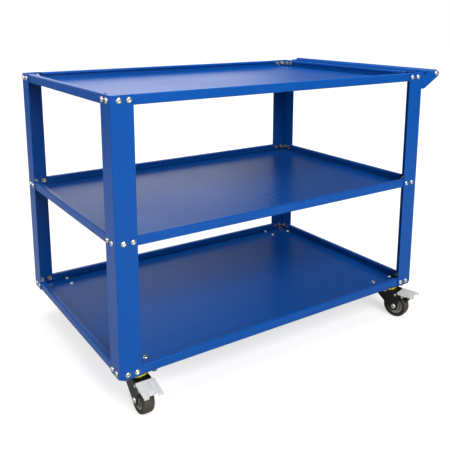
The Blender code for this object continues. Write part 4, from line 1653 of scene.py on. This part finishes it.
@dataclass(frozen=True)
class CasterPlace:
    """Where a caster stands, where it heads and how its brake is set."""

    label: str
    x: float
    y: float
    heading: float
    pressed: float

    @classmethod
    def from_record(cls, corner: Corner, joints: dict[str, dict]) -> "CasterPlace":
        """Reads a caster's place from its three joints.

        Args:
            corner: which caster.
            joints: the record's joints by name.

        Returns:
            The place.
        """
        swivel, roll = joints[f"swivel_{corner.label}"], joints[f"roll_{corner.label}"]
        brake = joints[f"brake_{corner.label}"]
        x, y = swivel["pos_m"][:2]
        axis = roll["axis"]
        pressed = -math.radians(brake["range_deg"][0])
        return cls(corner.label, x, y, math.atan2(-axis[0], axis[1]), pressed)

    @property
    def upright(self) -> Matrix:
        """Takes the unturned caster to its place."""
        return Matrix.Translation((self.x, self.y, 0))

    @property
    def turned(self) -> Matrix:
        """Takes the caster's own frame to its place."""
        return self.upright @ Matrix.Rotation(self.heading, 4, "Z")

    def body(self, kind: str) -> str:
        """Name of one of the caster's bodies."""
        return f"{kind}_{self.label}"


@dataclass
class MountPlate:
    """The bolted plate with its pressed cup, the kingpin and the dust ring."""

    length: float = 95 * MM
    width: float = 66 * MM
    corner: float = 7 * MM
    top: float = 99.7 * MM
    sheet: float = 2.5 * MM
    pitch_x: float = 75 * MM
    pitch_y: float = 47 * MM
    hole: float = 4.4 * MM
    cup: float = 24 * MM
    cup_depth: float = 5.5 * MM
    pin: float = 5 * MM
    pin_head: float = 9 * MM
    pin_head_height: float = 4 * MM
    pin_nut: float = 8 * MM
    pin_nut_height: float = 3.5 * MM
    ring: float = 29 * MM
    ring_height: float = 3.2 * MM
    crown_bottom: float = 84.9 * MM

    @property
    def cup_floor(self) -> float:
        """Height of the cup's underside."""
        return self.top - self.sheet - self.cup_depth

    def hole_places(self) -> list[Point2]:
        """The bolt places around the swivel axis."""
        return [(sx * self.pitch_x / 2, sy * self.pitch_y / 2) for sx in (-1, 1) for sy in (-1, 1)]

    def build_plate(self, place: CasterPlace) -> Object:
        """Makes the plate.

        Args:
            place: where the caster stands.

        Returns:
            The finished piece.
        """
        under = self.top - self.sheet
        shape = bmesh.new()
        add_prism(shape, rounded_rectangle(self.length, self.width, self.corner), under, self.top)
        piece = new_piece(f"caster_plate_{place.label}", shape, place.upright)
        slope = self.cup_depth * 0.45
        bottom = self.cup_floor
        outer = [
            (0, bottom), (self.cup - slope, bottom), (self.cup, under), (self.cup, under + self.sheet / 2)
        ]
        cup = bmesh.new()
        add_lathe(cup, fillet(outer + [(0, under + self.sheet / 2)], 1.2 * MM), 48)
        carve(piece, cup, Solid.JOIN, place.upright)
        inside = self.cup - self.sheet
        dish = [
            (0, bottom + self.sheet),
            (inside - slope, bottom + self.sheet),
            (inside, self.top),
            (inside, self.top + MM),
        ]
        hollow = bmesh.new()
        add_lathe(hollow, fillet(dish + [(0, self.top + MM)], 0.8 * MM), 48)
        carve(piece, hollow, Solid.CUT, place.upright)
        holes = bmesh.new()
        add_rod(holes, (0, 0, bottom - 5 * MM), (0, 0, self.top), self.pin + JOINT_GAP, 32)
        for x, y in self.hole_places():
            add_rod(holes, (x, y, under - 5 * MM), (x, y, self.top + 5 * MM), self.hole)
        carve(piece, holes, Solid.CUT, place.upright)
        soften(piece, 0.4 * MM)
        return piece

    def build_kingpin(self, place: CasterPlace) -> Object:
        """Makes the bolt that joins plate and fork.

        Args:
            place: where the caster stands.

        Returns:
            The finished piece.
        """
        seat = self.cup_floor + self.sheet + JOINT_GAP
        nut_top = self.crown_bottom - JOINT_GAP
        head = [(self.pin_head, seat), (self.pin_head, seat + self.pin_head_height * 0.6)]
        head += [(self.pin_head * 0.72, seat + self.pin_head_height), (0, seat + self.pin_head_height)]
        low = [(0, nut_top - self.pin_nut_height), (self.pin_nut * 0.9, nut_top - self.pin_nut_height)]
        low += [(self.pin_nut, nut_top - self.pin_nut_height * 0.8), (self.pin_nut, nut_top)]
        shape = bmesh.new()
        profile = low + [(self.pin, nut_top), (self.pin, seat)] + head
        add_lathe(shape, fillet(profile, 0.4 * MM, 2), 40)
        piece = new_piece(f"swivel_kingpin_{place.label}", shape, place.upright)
        shade(piece.data)
        return piece

    def build_ring(self, place: CasterPlace) -> Object:
        """Makes the ring that closes the ball race, with a groove round its rim.

        Args:
            place: where the caster stands.

        Returns:
            The finished piece.
        """
        high = self.cup_floor - JOINT_GAP
        low = high - self.ring_height
        middle = (low + high) / 2
        bore = self.pin + MM
        groove = 0.35 * MM
        rim = [(self.ring, low), (self.ring, middle - groove), (self.ring - groove, middle)]
        rim += [(self.ring, middle + groove), (self.ring, high)]
        shape = bmesh.new()
        add_lathe(shape, fillet([(bore, low), *rim, (bore, high)], 0.5 * MM), 64)
        piece = new_piece(f"race_ring_{place.label}", shape, place.turned)
        shade(piece.data)
        return piece

    def build(self, place: CasterPlace, shop: Paintshop) -> None:
        """Makes and dresses plate, kingpin and ring.

        Args:
            place: where the caster stands.
            shop: dresses each piece.
        """
        shop.fit(self.build_plate(place), BLACK_PAINT, ROOT_BODY, f"mount_plate_{place.label}")
        shop.fit(self.build_kingpin(place), ZINC, ROOT_BODY, f"kingpin_{place.label}")
        shop.fit(self.build_ring(place), YELLOW_PLASTIC, place.body("caster"), f"dust_ring_{place.label}")


@dataclass
class SwivelFork:
    """The pressed fork, its axle bolt and nut, hinge pin and rivets."""

    crown: float = 29 * MM
    crown_sheet: float = 3 * MM
    crown_top: float = 87.9 * MM
    gap: float = 38 * MM
    sheet: float = 2.5 * MM
    bend: float = 3.4 * MM
    rear: float = 20 * MM
    front: float = 30 * MM
    # How far forward from the swivel axis the black plate reaches that closes the gap behind the pedal.
    tongue: float = 44 * MM
    waist: float = 66 * MM
    eye: float = 14 * MM
    trail: float = 35 * MM
    axle_height: float = 37.5 * MM
    pin_forward: float = 62 * MM
    pin_height: float = 76 * MM
    boss: float = 7.2 * MM
    kingpin: float = 5 * MM
    axle: float = 4 * MM
    axle_head: float = 8.2 * MM
    axle_head_height: float = 4.5 * MM
    pin: float = 3 * MM
    pin_head: float = 4.6 * MM
    pin_head_height: float = 1.8 * MM
    nut_flats: float = 13 * MM
    nut_height: float = 6.5 * MM
    tip: float = 2 * MM
    rivet_forward: float = 38 * MM

    @property
    def outer(self) -> float:
        """Distance of a leg's outer face from the middle."""
        return self.gap / 2 + self.sheet

    def leg_view(self) -> list[Point2]:
        """Side view of the fork: crown, waist, axle eye, neck and hinge boss.

        Returns:
            The outline's points.
        """
        axle = (self.trail, self.axle_height)
        pin = (self.pin_forward, self.pin_height)
        waist = (-self.rear, self.waist)
        touch = tangent_angle(waist, axle, self.eye, 1)
        neck = (axle[0] + self.eye, (axle[1] + pin[1]) / 2)
        lower = tangent_angle(neck, pin, self.boss, 1)
        top = self.crown_top + MM
        outline = [(-self.rear, top), waist]
        outline += arc(axle, self.eye, touch - 2 * math.pi if touch > 0 else touch, 0, 18)
        outline.append(neck)
        outline += arc(pin, self.boss, lower - 2 * math.pi if lower > 0 else lower, math.pi / 2, 14)
        return outline + [(self.front, pin[1] + self.boss), (self.front, top)]

    def section(self) -> list[Point2]:
        """Front view of the folded sheet: two legs and the flat between them, with round bends.

        Returns:
            The outline's points.
        """
        out, top, r = self.outer, self.crown_top - 0.2 * MM, self.bend
        inner, ri = self.gap / 2, self.bend - self.sheet
        ceiling = self.crown_top - self.crown_sheet + 0.2 * MM
        quarter = math.pi / 2
        outline = [(out, 0)] + arc((out - r, top - r), r, 0, quarter, 6)
        outline += arc((r - out, top - r), r, quarter, math.pi, 6) + [(-out, 0), (-inner, 0)]
        outline += arc((ri - inner, ceiling - ri), ri, math.pi, quarter, 4)
        return outline + arc((inner - ri, ceiling - ri), ri, quarter, 0, 4) + [(inner, 0)]

    def build_fork(self, place: CasterPlace) -> Object:
        """Makes the fork.

        Args:
            place: where the caster stands.

        Returns:
            The finished piece.
        """
        shape = bmesh.new()
        add_prism(shape, self.section(), -2 * self.crown, 3 * self.crown, "x")
        piece = new_piece(f"caster_fork_{place.label}", shape, place.turned)
        keep = bmesh.new()
        add_prism(keep, self.leg_view(), -2 * self.gap, 2 * self.gap, "y")
        carve(piece, keep, Solid.KEEP, place.turned)
        low, high = self.crown_top - self.crown_sheet, self.crown_top
        disc = bmesh.new()
        add_lathe(disc, [(0, low), (self.crown, low), (self.crown, high), (0, high)], 64)
        carve(piece, disc, Solid.JOIN, place.turned)
        # A black plate reaches forward from the crown across the fork, closes the gap behind the pedal and
        # makes that gap show black.
        tongue = bmesh.new()
        round_corner = 4 * MM
        reach = rounded_rectangle(2 * self.tongue, 2 * (self.outer - 0.4 * MM), round_corner)
        outline = [(max(x, 0), y) for x, y in reach]
        add_prism(tongue, outline, low + 0.2 * MM, high - 0.2 * MM)
        carve(piece, tongue, Solid.JOIN, place.turned)
        holes = bmesh.new()
        add_rod(holes, (0, 0, low - 5 * MM), (0, 0, high + 5 * MM), self.kingpin + JOINT_GAP, 32)
        places = ((self.trail, self.axle_height, self.axle), (self.pin_forward, self.pin_height, self.pin))
        for x, z, radius in places:
            add_rod(holes, (x, -self.gap, z), (x, self.gap, z), radius + JOINT_GAP, 28)
        carve(piece, holes, Solid.CUT, place.turned)
        soften(piece, 0.45 * MM)
        return piece

    def build_axle(self, place: CasterPlace) -> Object:
        """Makes the domed axle bolt, its head on the left side.

        Args:
            place: where the caster stands.

        Returns:
            The finished piece.
        """
        seat = -self.outer - JOINT_GAP
        end = self.outer + JOINT_GAP + self.nut_height + self.tip
        crown = self.axle_head_height
        dome = arc((0, 0), 1, math.pi / 2, 0.12, 9)
        head = [(self.axle_head * c, seat - 0.5 * MM - (crown - 0.5 * MM) * s) for c, s in dome]
        head[0] = (0, head[0][1])
        rest = [
            (self.axle_head, seat),
            (self.axle, seat),
            (self.axle, end - 0.6 * MM),
            (self.axle - 0.6 * MM, end),
        ]
        shape = bmesh.new()
        add_lathe(shape, head + rest + [(0, end)], 48, "y")
        piece = new_piece(f"axle_bolt_domed_{place.label}", shape, place.turned @ self.at_axle())
        shade(piece.data, 40)
        return piece

    def at_axle(self) -> Matrix:
        """Takes the wheel's own frame to the caster's."""
        return Matrix.Translation((self.trail, 0, self.axle_height))

    def at_pin(self) -> Matrix:
        """Takes the pedal's own frame to the caster's, with the pedal up."""
        return Matrix.Translation((self.pin_forward, 0, self.pin_height))

    def build_nut(self, place: CasterPlace) -> Object:
        """Makes the hexagon lock nut with its turned-off corners and round collar.

        Args:
            place: where the caster stands.

        Returns:
            The finished piece.
        """
        start = self.outer + JOINT_GAP
        hexagon_high = self.nut_height * 0.78
        radius = self.nut_flats / 2 / math.cos(math.pi / 6)
        outline = [(radius * math.cos(k * math.pi / 3), radius * math.sin(k * math.pi / 3)) for k in range(6)]
        shape = bmesh.new()
        add_prism(shape, outline, start, start + hexagon_high, "y")
        matrix = place.turned @ self.at_axle()
        piece = new_piece(f"axle_lock_nut_{place.label}", shape, matrix)
        flat = self.nut_flats / 2
        cone = [(0, start - MM), (radius, start - MM), (radius, start + hexagon_high * 0.72)]
        cone += [(flat * 0.99, start + hexagon_high + 0.01 * MM), (0, start + hexagon_high + 0.01 * MM)]
        turned = bmesh.new()
        add_lathe(turned, cone, 48, "y")
        carve(piece, turned, Solid.KEEP, matrix)
        collar = bmesh.new()
        end = start + self.nut_height
        ring = [
            (0, start + MM),
            (flat * 0.9, start + MM),
            (flat * 0.9, end - 0.6 * MM),
            (flat * 0.8, end),
            (0, end),
        ]
        add_lathe(collar, ring, 48, "y")
        carve(piece, collar, Solid.JOIN, matrix)
        bore = bmesh.new()
        add_rod(bore, (0, start - MM, 0), (0, end + MM, 0), self.axle + JOINT_GAP, 32)
        carve(piece, bore, Solid.CUT, matrix)
        soften(piece, 0.15 * MM, 1, 35)
        return piece

    def build_pin(self, place: CasterPlace) -> Object:
        """Makes the riveted hinge pin.

        Args:
            place: where the caster stands.

        Returns:
            The finished piece.
        """
        seat, high = self.outer + JOINT_GAP, self.pin_head_height
        dome = arc((0, 0), 1, 0.1, math.pi / 2, 7)
        half = [(self.pin, seat)] + [(self.pin_head * c, seat + high * s) for c, s in dome]
        half[-1] = (0, half[-1][1])
        profile = [(r, -y) for r, y in reversed(half)] + half
        shape = bmesh.new()
        add_lathe(shape, profile, 36, "y")
        piece = new_piece(f"hinge_pin_{place.label}", shape, place.turned @ self.at_pin())
        shade(piece.data, 40)
        return piece

    def rivet_seats(self, place: CasterPlace) -> list[Seat]:
        """Seats of the two rivets, one on each leg.

        Args:
            place: where the caster stands.

        Returns:
            The seats.
        """
        seats = []
        for side in (-1, 1):
            spot = place.turned @ Vector((self.rivet_forward, side * self.outer, self.pin_height))
            seats.append(Seat(spot, place.turned.to_3x3() @ Vector((0, side, 0))))
        return seats

    def build(self, place: CasterPlace, shop: Paintshop, rivets: bpy.types.NodeTree) -> None:
        """Makes and dresses fork, axle, nut, pin and rivets.

        Args:
            place: where the caster stands.
            shop: dresses each piece.
            rivets: the node tree of the rivets.
        """
        body = place.body("caster")
        shop.fit(self.build_fork(place), BLACK_PAINT, body, f"swivel_fork_{place.label}")
        shop.fit(self.build_axle(place), ZINC, body, f"axle_bolt_{place.label}")
        shop.fit(self.build_nut(place), ZINC, body, f"axle_nut_{place.label}")
        shop.fit(self.build_pin(place), ZINC, body, f"brake_pin_{place.label}")
        piece = seat_carrier(f"fork_rivets_{place.label}", self.rivet_seats(place))
        values = {
            "Head Radius": 4.4 * MM,
            "Head Height": 1.8 * MM,
            "Shank Length": 2 * MM,
            "Spin Seed": 17,
            "Finish": shop.materials[ZINC.name],
        }
        grow(piece, rivets, values)
        shop.fit(piece, ZINC, body)


@dataclass
class Wheel:
    """The rubber tyre and the moulded hub."""

    radius: float = 37.5 * MM
    width: float = 31 * MM
    seat: float = 26 * MM
    shoulder: float = 33 * MM
    crown: float = 12 * MM
    key: float = 1.8 * MM
    key_width: float = 10 * MM
    boss: float = 10 * MM
    rim_inner: float = 20.5 * MM
    rim_width: float = 27 * MM
    web: float = 14 * MM
    hub_width: float = 36 * MM
    bore: float = 4.3 * MM
    streaks: float = 900.0
    segments: int = 128

    def tread(self) -> list[Point2]:
        """Outline of the tread from side to side, a flattened round with a fine mould line.

        Returns:
            The outline's points.
        """
        half, flat = self.width / 2, self.crown / 2
        run = half - flat
        steps = 12
        side: list[Point2] = []
        for step in range(steps + 1):
            t = math.pi / 2 * step / steps
            side.append(
                (self.shoulder + (self.radius - self.shoulder) * math.sin(t), -flat - run * math.cos(t))
            )
        line = 0.12 * MM
        middle = [(self.radius, -0.5 * MM), (self.radius - line, 0.0), (self.radius, 0.5 * MM)]
        return side + middle + [(r, -y) for r, y in reversed(side)]

    def build_tyre(self, place: CasterPlace, matrix: Matrix) -> Object:
        """Makes the tyre, with wear on its tread.

        Args:
            place: where the caster stands.
            matrix: takes the piece to its place.

        Returns:
            The finished piece.
        """
        half, key = self.width / 2, self.key_width / 2 + JOINT_GAP
        wall = [
            (self.seat, -half + 0.8 * MM),
            (self.seat + 0.8 * MM, -half),
            (self.shoulder - 1.5 * MM, -half + 0.15 * MM),
        ]
        groove = [
            (self.seat, key), (self.seat + self.key, key), (self.seat + self.key, -key), (self.seat, -key)
        ]
        profile = wall + self.tread() + [(r, -y) for r, y in reversed(wall)] + groove
        shape = bmesh.new()
        add_lathe(shape, profile, self.segments, "y")
        piece = new_piece(f"caster_tyre_{place.label}", shape, matrix)
        back = matrix.inverted()
        wear = piece.data.attributes.new(WEAR, "FLOAT", "POINT")
        around = piece.data.attributes.new(AROUND, "FLOAT_VECTOR", "POINT")
        for i, vertex in enumerate(piece.data.vertices):
            local = back @ vertex.co
            out = math.hypot(local.x, local.z)
            wear.data[i].value = min(
                1.0, max(0.0, (out - self.shoulder - MM) / (self.radius - self.shoulder - MM))
            )
            around.data[i].vector = (local.x / out, local.z / out, local.y * self.streaks)
        shade(piece.data, 40)
        return piece

    def build_hub(self, place: CasterPlace, matrix: Matrix) -> Object:
        """Makes the hub: rim with a lip, dished web and long boss.

        Args:
            place: where the caster stands.
            matrix: takes the piece to its place.

        Returns:
            The finished piece.
        """
        half_boss, half_rim, half_web = self.hub_width / 2, self.rim_width / 2, self.web / 2
        hub, key = self.seat - JOINT_GAP, self.key_width / 2
        step = 0.9 * MM
        side = [
            (self.bore, -half_boss),
            (self.boss - 1.2 * MM, -half_boss),
            (self.boss, -half_boss + 1.6 * MM),
            (self.boss, -half_web - 1.5 * MM),
            (self.boss + 2 * MM, -half_web),
            (self.rim_inner - 2.2 * MM, -half_web),
            (self.rim_inner - 0.9 * MM, -half_web - 1.6 * MM),
            (self.rim_inner, -half_rim + 2 * step),
            (self.rim_inner + step, -half_rim),
            (hub - step, -half_rim),
            (hub, -half_rim + step),
            (hub, -key),
            (hub + self.key, -key),
        ]
        profile = side + [(r, -y) for r, y in reversed(side)]
        shape = bmesh.new()
        add_lathe(shape, fillet(profile, 0.5 * MM, 2), 96, "y")
        piece = new_piece(f"caster_hub_{place.label}", shape, matrix)
        shade(piece.data, 40)
        return piece

    def build(self, place: CasterPlace, fork: SwivelFork, shop: Paintshop) -> None:
        """Makes and dresses tyre and hub.

        Args:
            place: where the caster stands.
            fork: the fork it belongs to.
            shop: dresses each piece.
        """
        matrix = place.turned @ fork.at_axle()
        body = place.body("wheel")
        shop.fit(self.build_tyre(place, matrix), RUBBER, body, f"tyre_{place.label}")
        shop.fit(self.build_hub(place, matrix), GREY_PLASTIC, body, f"wheel_hub_{place.label}")


@dataclass
class BrakePedal:
    """The pressed pedal with its toothed ends, and the shoe below it."""

    width: float = 49 * MM
    sheet: float = 2 * MM
    back: float = 16.5 * MM
    front: float = 37 * MM
    rise: float = 8 * MM
    skirt: float = 3 * MM
    lip: float = 6 * MM
    tip_width: float = 12.5 * MM
    tip_reach: float = 4 * MM
    fold: float = 2.6 * MM
    groove: float = 1.1 * MM
    teeth: int = 3
    tab_span: float = 32 * MM
    tab_radius: float = 6.4 * MM
    tab_back: float = 9 * MM
    tab_front: float = 19 * MM
    pin_hole: float = 3.3 * MM
    travel: float = math.radians(12)
    shoe_width: float = 26 * MM
    shoe_thickness: float = 4.2 * MM
    shoe_start: float = math.radians(30)
    shoe_end: float = math.radians(52)
    grip_gap: float = 0.5 * MM
    stem: float = 9 * MM

    def plan(self) -> list[Point2]:
        """Top view: a plate with two toothed tips and round back corners.

        Returns:
            The outline's points.
        """
        half, step = self.width / 2, self.front - self.tip_reach
        inner = half - self.tip_width
        back_round = 3 * MM
        quarter = math.pi / 2
        outline = arc((back_round - self.back, back_round - half), back_round, 2 * quarter, 3 * quarter, 6)
        outline += self.tip(-half, -inner)
        outline += [
            (step + 1.2 * MM, -inner),
            (step, -inner + 1.2 * MM),
            (step, inner - 1.2 * MM),
            (step + 1.2 * MM, inner),
        ]
        outline += self.tip(inner, half)
        return outline + arc((back_round - self.back, half - back_round), back_round, quarter, 2 * quarter, 6)

    def tip(self, start: float, end: float) -> list[Point2]:
        """The rounded teeth of one tip, from one side to the other.

        Args:
            start: one end.
            end: the other end.

        Returns:
            The outline's points.
        """
        pitch = (end - start) / (self.teeth + 1)
        points: list[Point2] = []
        for tooth in range(self.teeth + 1):
            middle = start + pitch * (tooth + 0.5)
            half = pitch / 2 - self.groove * 0.35
            for step in range(9):
                t = math.pi * (step / 8 - 0.5)
                points.append((self.front - self.groove * (1 - math.cos(t)), middle + half * math.sin(t)))
        return points

    def build_plate(self, place: CasterPlace, matrix: Matrix) -> Object:
        """Makes the pressing: plate, skirts, toothed lips and ears.

        Args:
            place: where the caster stands.
            matrix: takes the piece to its place.

        Returns:
            The finished piece.
        """
        half, high = self.width / 2, self.rise + self.sheet
        inner = half - self.tip_width
        shape = bmesh.new()
        add_prism(shape, self.plan(), high - self.lip, high)
        piece = new_piece(f"pedal_plate_{place.label}", shape, matrix)
        sheet, behind, below = self.sheet, -2 * self.back, -self.lip
        fold = self.front - sheet - self.groove
        hollows = (
            ((behind, sheet - half, below), (fold, half - sheet, self.rise)),
            ((behind, -inner, below), (2 * self.front, inner, self.rise)),
            ((behind, -half - MM, below), (fold - sheet, half + MM, self.rise - self.skirt)),
        )
        for low, top in hollows:
            under = bmesh.new()
            add_block(under, low, top)
            carve(piece, under, Solid.CUT, matrix)
        for side in (-1, 1):
            ends = sorted((side * self.tab_span / 2, side * (self.tab_span / 2 - sheet)))
            tab = bmesh.new()
            add_prism(tab, self.tab_view(), ends[0], ends[1], "y")
            carve(piece, tab, Solid.JOIN, matrix)
        hole = bmesh.new()
        add_rod(hole, (0, -half - MM, 0), (0, half + MM, 0), self.pin_hole, 28)
        carve(piece, hole, Solid.CUT, matrix)
        soften(piece, 0.7 * MM, 3, 55)
        return piece

    def tab_view(self) -> list[Point2]:
        """Side view of an ear, around the pin.

        Returns:
            The outline's points.
        """
        top = self.rise + self.sheet / 2
        rear = tangent_angle((-self.tab_back, self.rise), (0, 0), self.tab_radius, 1)
        front = tangent_angle((self.tab_front, self.rise), (0, 0), self.tab_radius, -1)
        outline = [(self.tab_front, top), (-self.tab_back, top), (-self.tab_back, self.rise)]
        outline += arc((0, 0), self.tab_radius, rear, front + 2 * math.pi, 16)
        outline.append((self.tab_front, self.rise))
        return outline

    def shoe_view(self, fork: SwivelFork, wheel: Wheel) -> list[Point2]:
        """Side view of the shoe's curved pad around the pin, with the pedal up.

        Args:
            fork: the fork it belongs to.
            wheel: the wheel it works on.

        Returns:
            The outline's points.
        """
        pin, axle = Vector((fork.pin_forward, fork.pin_height)), (fork.trail, fork.axle_height)
        grip = wheel.radius + self.grip_gap
        pad = arc(axle, grip, self.shoe_start, self.shoe_end, 10)
        pad += arc(axle, grip + self.shoe_thickness, self.shoe_end, self.shoe_start, 10)
        lift = Matrix.Rotation(self.travel, 2)
        return [tuple(lift @ (Vector(point) - pin)) for point in pad]

    def build_shoe(self, place: CasterPlace, fork: SwivelFork, wheel: Wheel, matrix: Matrix) -> Object:
        """Makes the shoe: a curved pad and the stem that holds it.

        Args:
            place: where the caster stands.
            fork: the fork it belongs to.
            wheel: the wheel it works on.
            matrix: takes the piece to its place.

        Returns:
            The finished piece.
        """
        outline = self.shoe_view(fork, wheel)
        tip, foot = outline[-1], outline[12]
        sunk, top = self.shoe_thickness / 3, self.rise - JOINT_GAP
        shape = bmesh.new()
        add_prism(shape, outline, -self.shoe_width / 2, self.shoe_width / 2, "y")
        piece = new_piece(f"brake_pad_{place.label}", shape, matrix)
        view = [
            (tip[0], tip[1] - sunk),
            (tip[0] + MM / 2, top),
            (tip[0] - self.stem, top),
            (foot[0], foot[1] - sunk),
        ]
        stem = bmesh.new()
        add_prism(stem, view, -self.shoe_width / 3, self.shoe_width / 3, "y")
        carve(piece, stem, Solid.JOIN, matrix)
        soften(piece, 0.5 * MM, 2, 45)
        return piece

    def build(self, place: CasterPlace, fork: SwivelFork, wheel: Wheel, shop: Paintshop) -> None:
        """Makes and dresses pedal and shoe.

        Args:
            place: where the caster stands.
            fork: the fork it belongs to.
            wheel: the wheel it works on.
            shop: dresses each piece.
        """
        matrix = place.turned @ fork.at_pin() @ Matrix.Rotation(place.pressed, 4, "Y")
        body = place.body("pedal")
        shop.fit(self.build_plate(place, matrix), BRIGHT_ZINC, body, f"brake_pedal_{place.label}")
        shop.fit(self.build_shoe(place, fork, wheel, matrix), BLACK_PAINT, body, f"brake_shoe_{place.label}")


@dataclass
class Casters:
    """The four swivel casters."""

    places: list[CasterPlace]
    plate: MountPlate = field(default_factory=MountPlate)
    fork: SwivelFork = field(default_factory=SwivelFork)
    wheel: Wheel = field(default_factory=Wheel)
    pedal: BrakePedal = field(default_factory=BrakePedal)

    def bolt_places(self) -> tuple[Point2, ...]:
        """Where the plates are bolted, seen from above."""
        return tuple((place.x + x, place.y + y) for place in self.places for x, y in self.plate.hole_places())

    def build(self, shop: Paintshop) -> None:
        """Makes and dresses every caster.

        Args:
            shop: dresses each piece.
        """
        rivets = rivet_tree()
        for place in self.places:
            self.plate.build(place, shop)
            self.fork.build(place, shop, rivets)
            self.wheel.build(place, self.fork, shop)
            self.pedal.build(place, self.fork, self.wheel, shop)


# Studio -------------------------------------------------------------------------------------


@dataclass(frozen=True)
class SoftLight:
    """A square area light."""

    name: str
    place: tuple[float, float, float]
    aim: tuple[float, float, float]
    size: float
    power: float

    def hang(self) -> None:
        """Puts the light up."""
        data = bpy.data.lights.new(self.name, "AREA")
        data.shape = "SQUARE"
        data.size = self.size
        data.energy = self.power
        lamp = bpy.data.objects.new(self.name, data)
        bpy.context.scene.collection.objects.link(lamp)
        lamp.location = self.place
        way = Vector(self.aim) - Vector(self.place)
        lamp.rotation_euler = way.to_track_quat("-Z", "Y").to_euler()


@dataclass
class Studio:
    """Floor, world light, lamps and camera."""

    floor_colour: Colour = (0.42, 0.42, 0.42)
    floor_glow: float = 0.62
    glow_reach: tuple[float, float] = (1.0, 4.0)
    floor_reach: float = 14.0
    backdrop_way: tuple[float, float, float] = (0.174, 0.985, 0.0)
    backdrop_edges: tuple[float, float] = (0.848, 0.905)
    backdrop_strength: float = 1.4
    room_strength: float = 0.18
    lens: float = 49.65
    shift: float = -0.185
    place: tuple[float, float, float] = (-1.0545, -1.5232, 0.9365)
    heading: float = 33.53
    pitch: float = 11.5
    lights: tuple[SoftLight, ...] = (
        SoftLight("key", (-0.4, -3.2, 2.4), (0.0, 0.0, 0.5), 2.4, 190.0),
        SoftLight("top", (0.3, 0.4, 3.4), (0.0, 0.0, 0.3), 2.6, 100.0),
        SoftLight("side", (-3.4, 0.2, 1.8), (-0.2, 0.0, 0.4), 1.8, 70.0),
    )

    def build_floor(self) -> None:
        """Lays the plain pale floor."""
        shape = bmesh.new()
        bmesh.ops.create_grid(shape, x_segments=1, y_segments=1, size=self.floor_reach)
        floor = link_shape("studio_floor", shape)
        material = bpy.data.materials.new("studio_floor")
        material.use_nodes = True
        shader = material.node_tree.nodes["Principled BSDF"]
        shader.inputs["Base Color"].default_value = (*self.floor_colour, 1)
        shader.inputs["Roughness"].default_value = 0.9
        shader.inputs["Specular IOR Level"].default_value = 0.1
        shader.inputs["Emission Color"].default_value = (1, 1, 1, 1)
        tree = material.node_tree
        place = place_node(tree, "ShaderNodeTexCoord").outputs["Object"]
        away = place_node(tree, "ShaderNodeVectorMath", {"operation": "LENGTH"}, i0=place).outputs["Value"]
        near, far = self.glow_reach
        glow = place_node(tree, "ShaderNodeMapRange", i0=away, i1=near, i2=far, i3=self.floor_glow, i4=1.0)
        seen = place_node(tree, "ShaderNodeLightPath").outputs["Is Camera Ray"]
        shown = place_node(tree, "ShaderNodeMath", {"operation": "MULTIPLY"}, i0=seen, i1=glow.outputs[0])
        tree.links.new(shown.outputs[0], shader.inputs["Emission Strength"])
        floor.data.materials.append(material)

    def build_world(self) -> None:
        """Makes the room: a bright backdrop on one side, dimmer all round, and plain white to look at."""
        world = bpy.data.worlds.new("studio_world")
        bpy.context.scene.world = world
        world.use_nodes = True
        tree = world.node_tree
        background = tree.nodes["Background"]
        background.inputs["Color"].default_value = (1, 1, 1, 1)
        way = place_node(tree, "ShaderNodeTexCoord").outputs["Generated"]
        towards = place_node(
            tree, "ShaderNodeVectorMath", {"operation": "DOT_PRODUCT"}, i0=way, i1=self.backdrop_way
        )
        low, high = self.backdrop_edges
        room = place_node(
            tree,
            "ShaderNodeMapRange",
            {"interpolation_type": "SMOOTHSTEP"},
            i0=towards.outputs["Value"],
            i1=low,
            i2=high,
            i3=self.room_strength,
            i4=self.backdrop_strength,
        )
        seen = place_node(tree, "ShaderNodeLightPath").outputs["Is Camera Ray"]
        strength = place_node(
            tree, "ShaderNodeMix", {"data_type": "FLOAT"}, i0=seen, i2=room.outputs[0], i3=1.0
        )
        tree.links.new(strength.outputs[0], background.inputs["Strength"])

    def build_camera(self) -> None:
        """Sets up the camera."""
        data = bpy.data.cameras.new("camera")
        data.lens = self.lens
        data.shift_y = self.shift
        camera = bpy.data.objects.new("camera", data)
        bpy.context.scene.collection.objects.link(camera)
        camera.location = self.place
        camera.rotation_euler = (math.radians(90 - self.pitch), 0, -math.radians(self.heading))
        bpy.context.scene.camera = camera

    def build(self) -> None:
        """Builds the whole studio."""
        bpy.context.scene.view_settings.view_transform = "Standard"
        self.build_floor()
        self.build_world()
        for light in self.lights:
            light.hang()
        self.build_camera()


# Main ---------------------------------------------------------------------------------------


def main() -> None:
    """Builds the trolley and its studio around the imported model."""
    logging.basicConfig(level=logging.INFO, format="%(message)s")
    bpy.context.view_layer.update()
    joints = {joint["name"]: joint for joint in frame["record"]["behaviour"]["joints"]}
    casters = Casters([CasterPlace.from_record(corner, joints) for corner in Corner])
    layout = Layout.from_frame()
    bolts = BoltPattern()
    shop = Paintshop()
    shop.open()
    pans = TrayPans(layout, bolts, caster_holes=casters.bolt_places())
    handle = PushHandle(layout, bolts)
    CornerPosts(layout, bolts).build(shop)
    pans.build(shop)
    handle.build(shop)
    FrameFasteners(layout, bolts, pans, handle).build(shop)
    casters.build(shop)
    Studio().build()


if __name__ == "__main__":
    main()
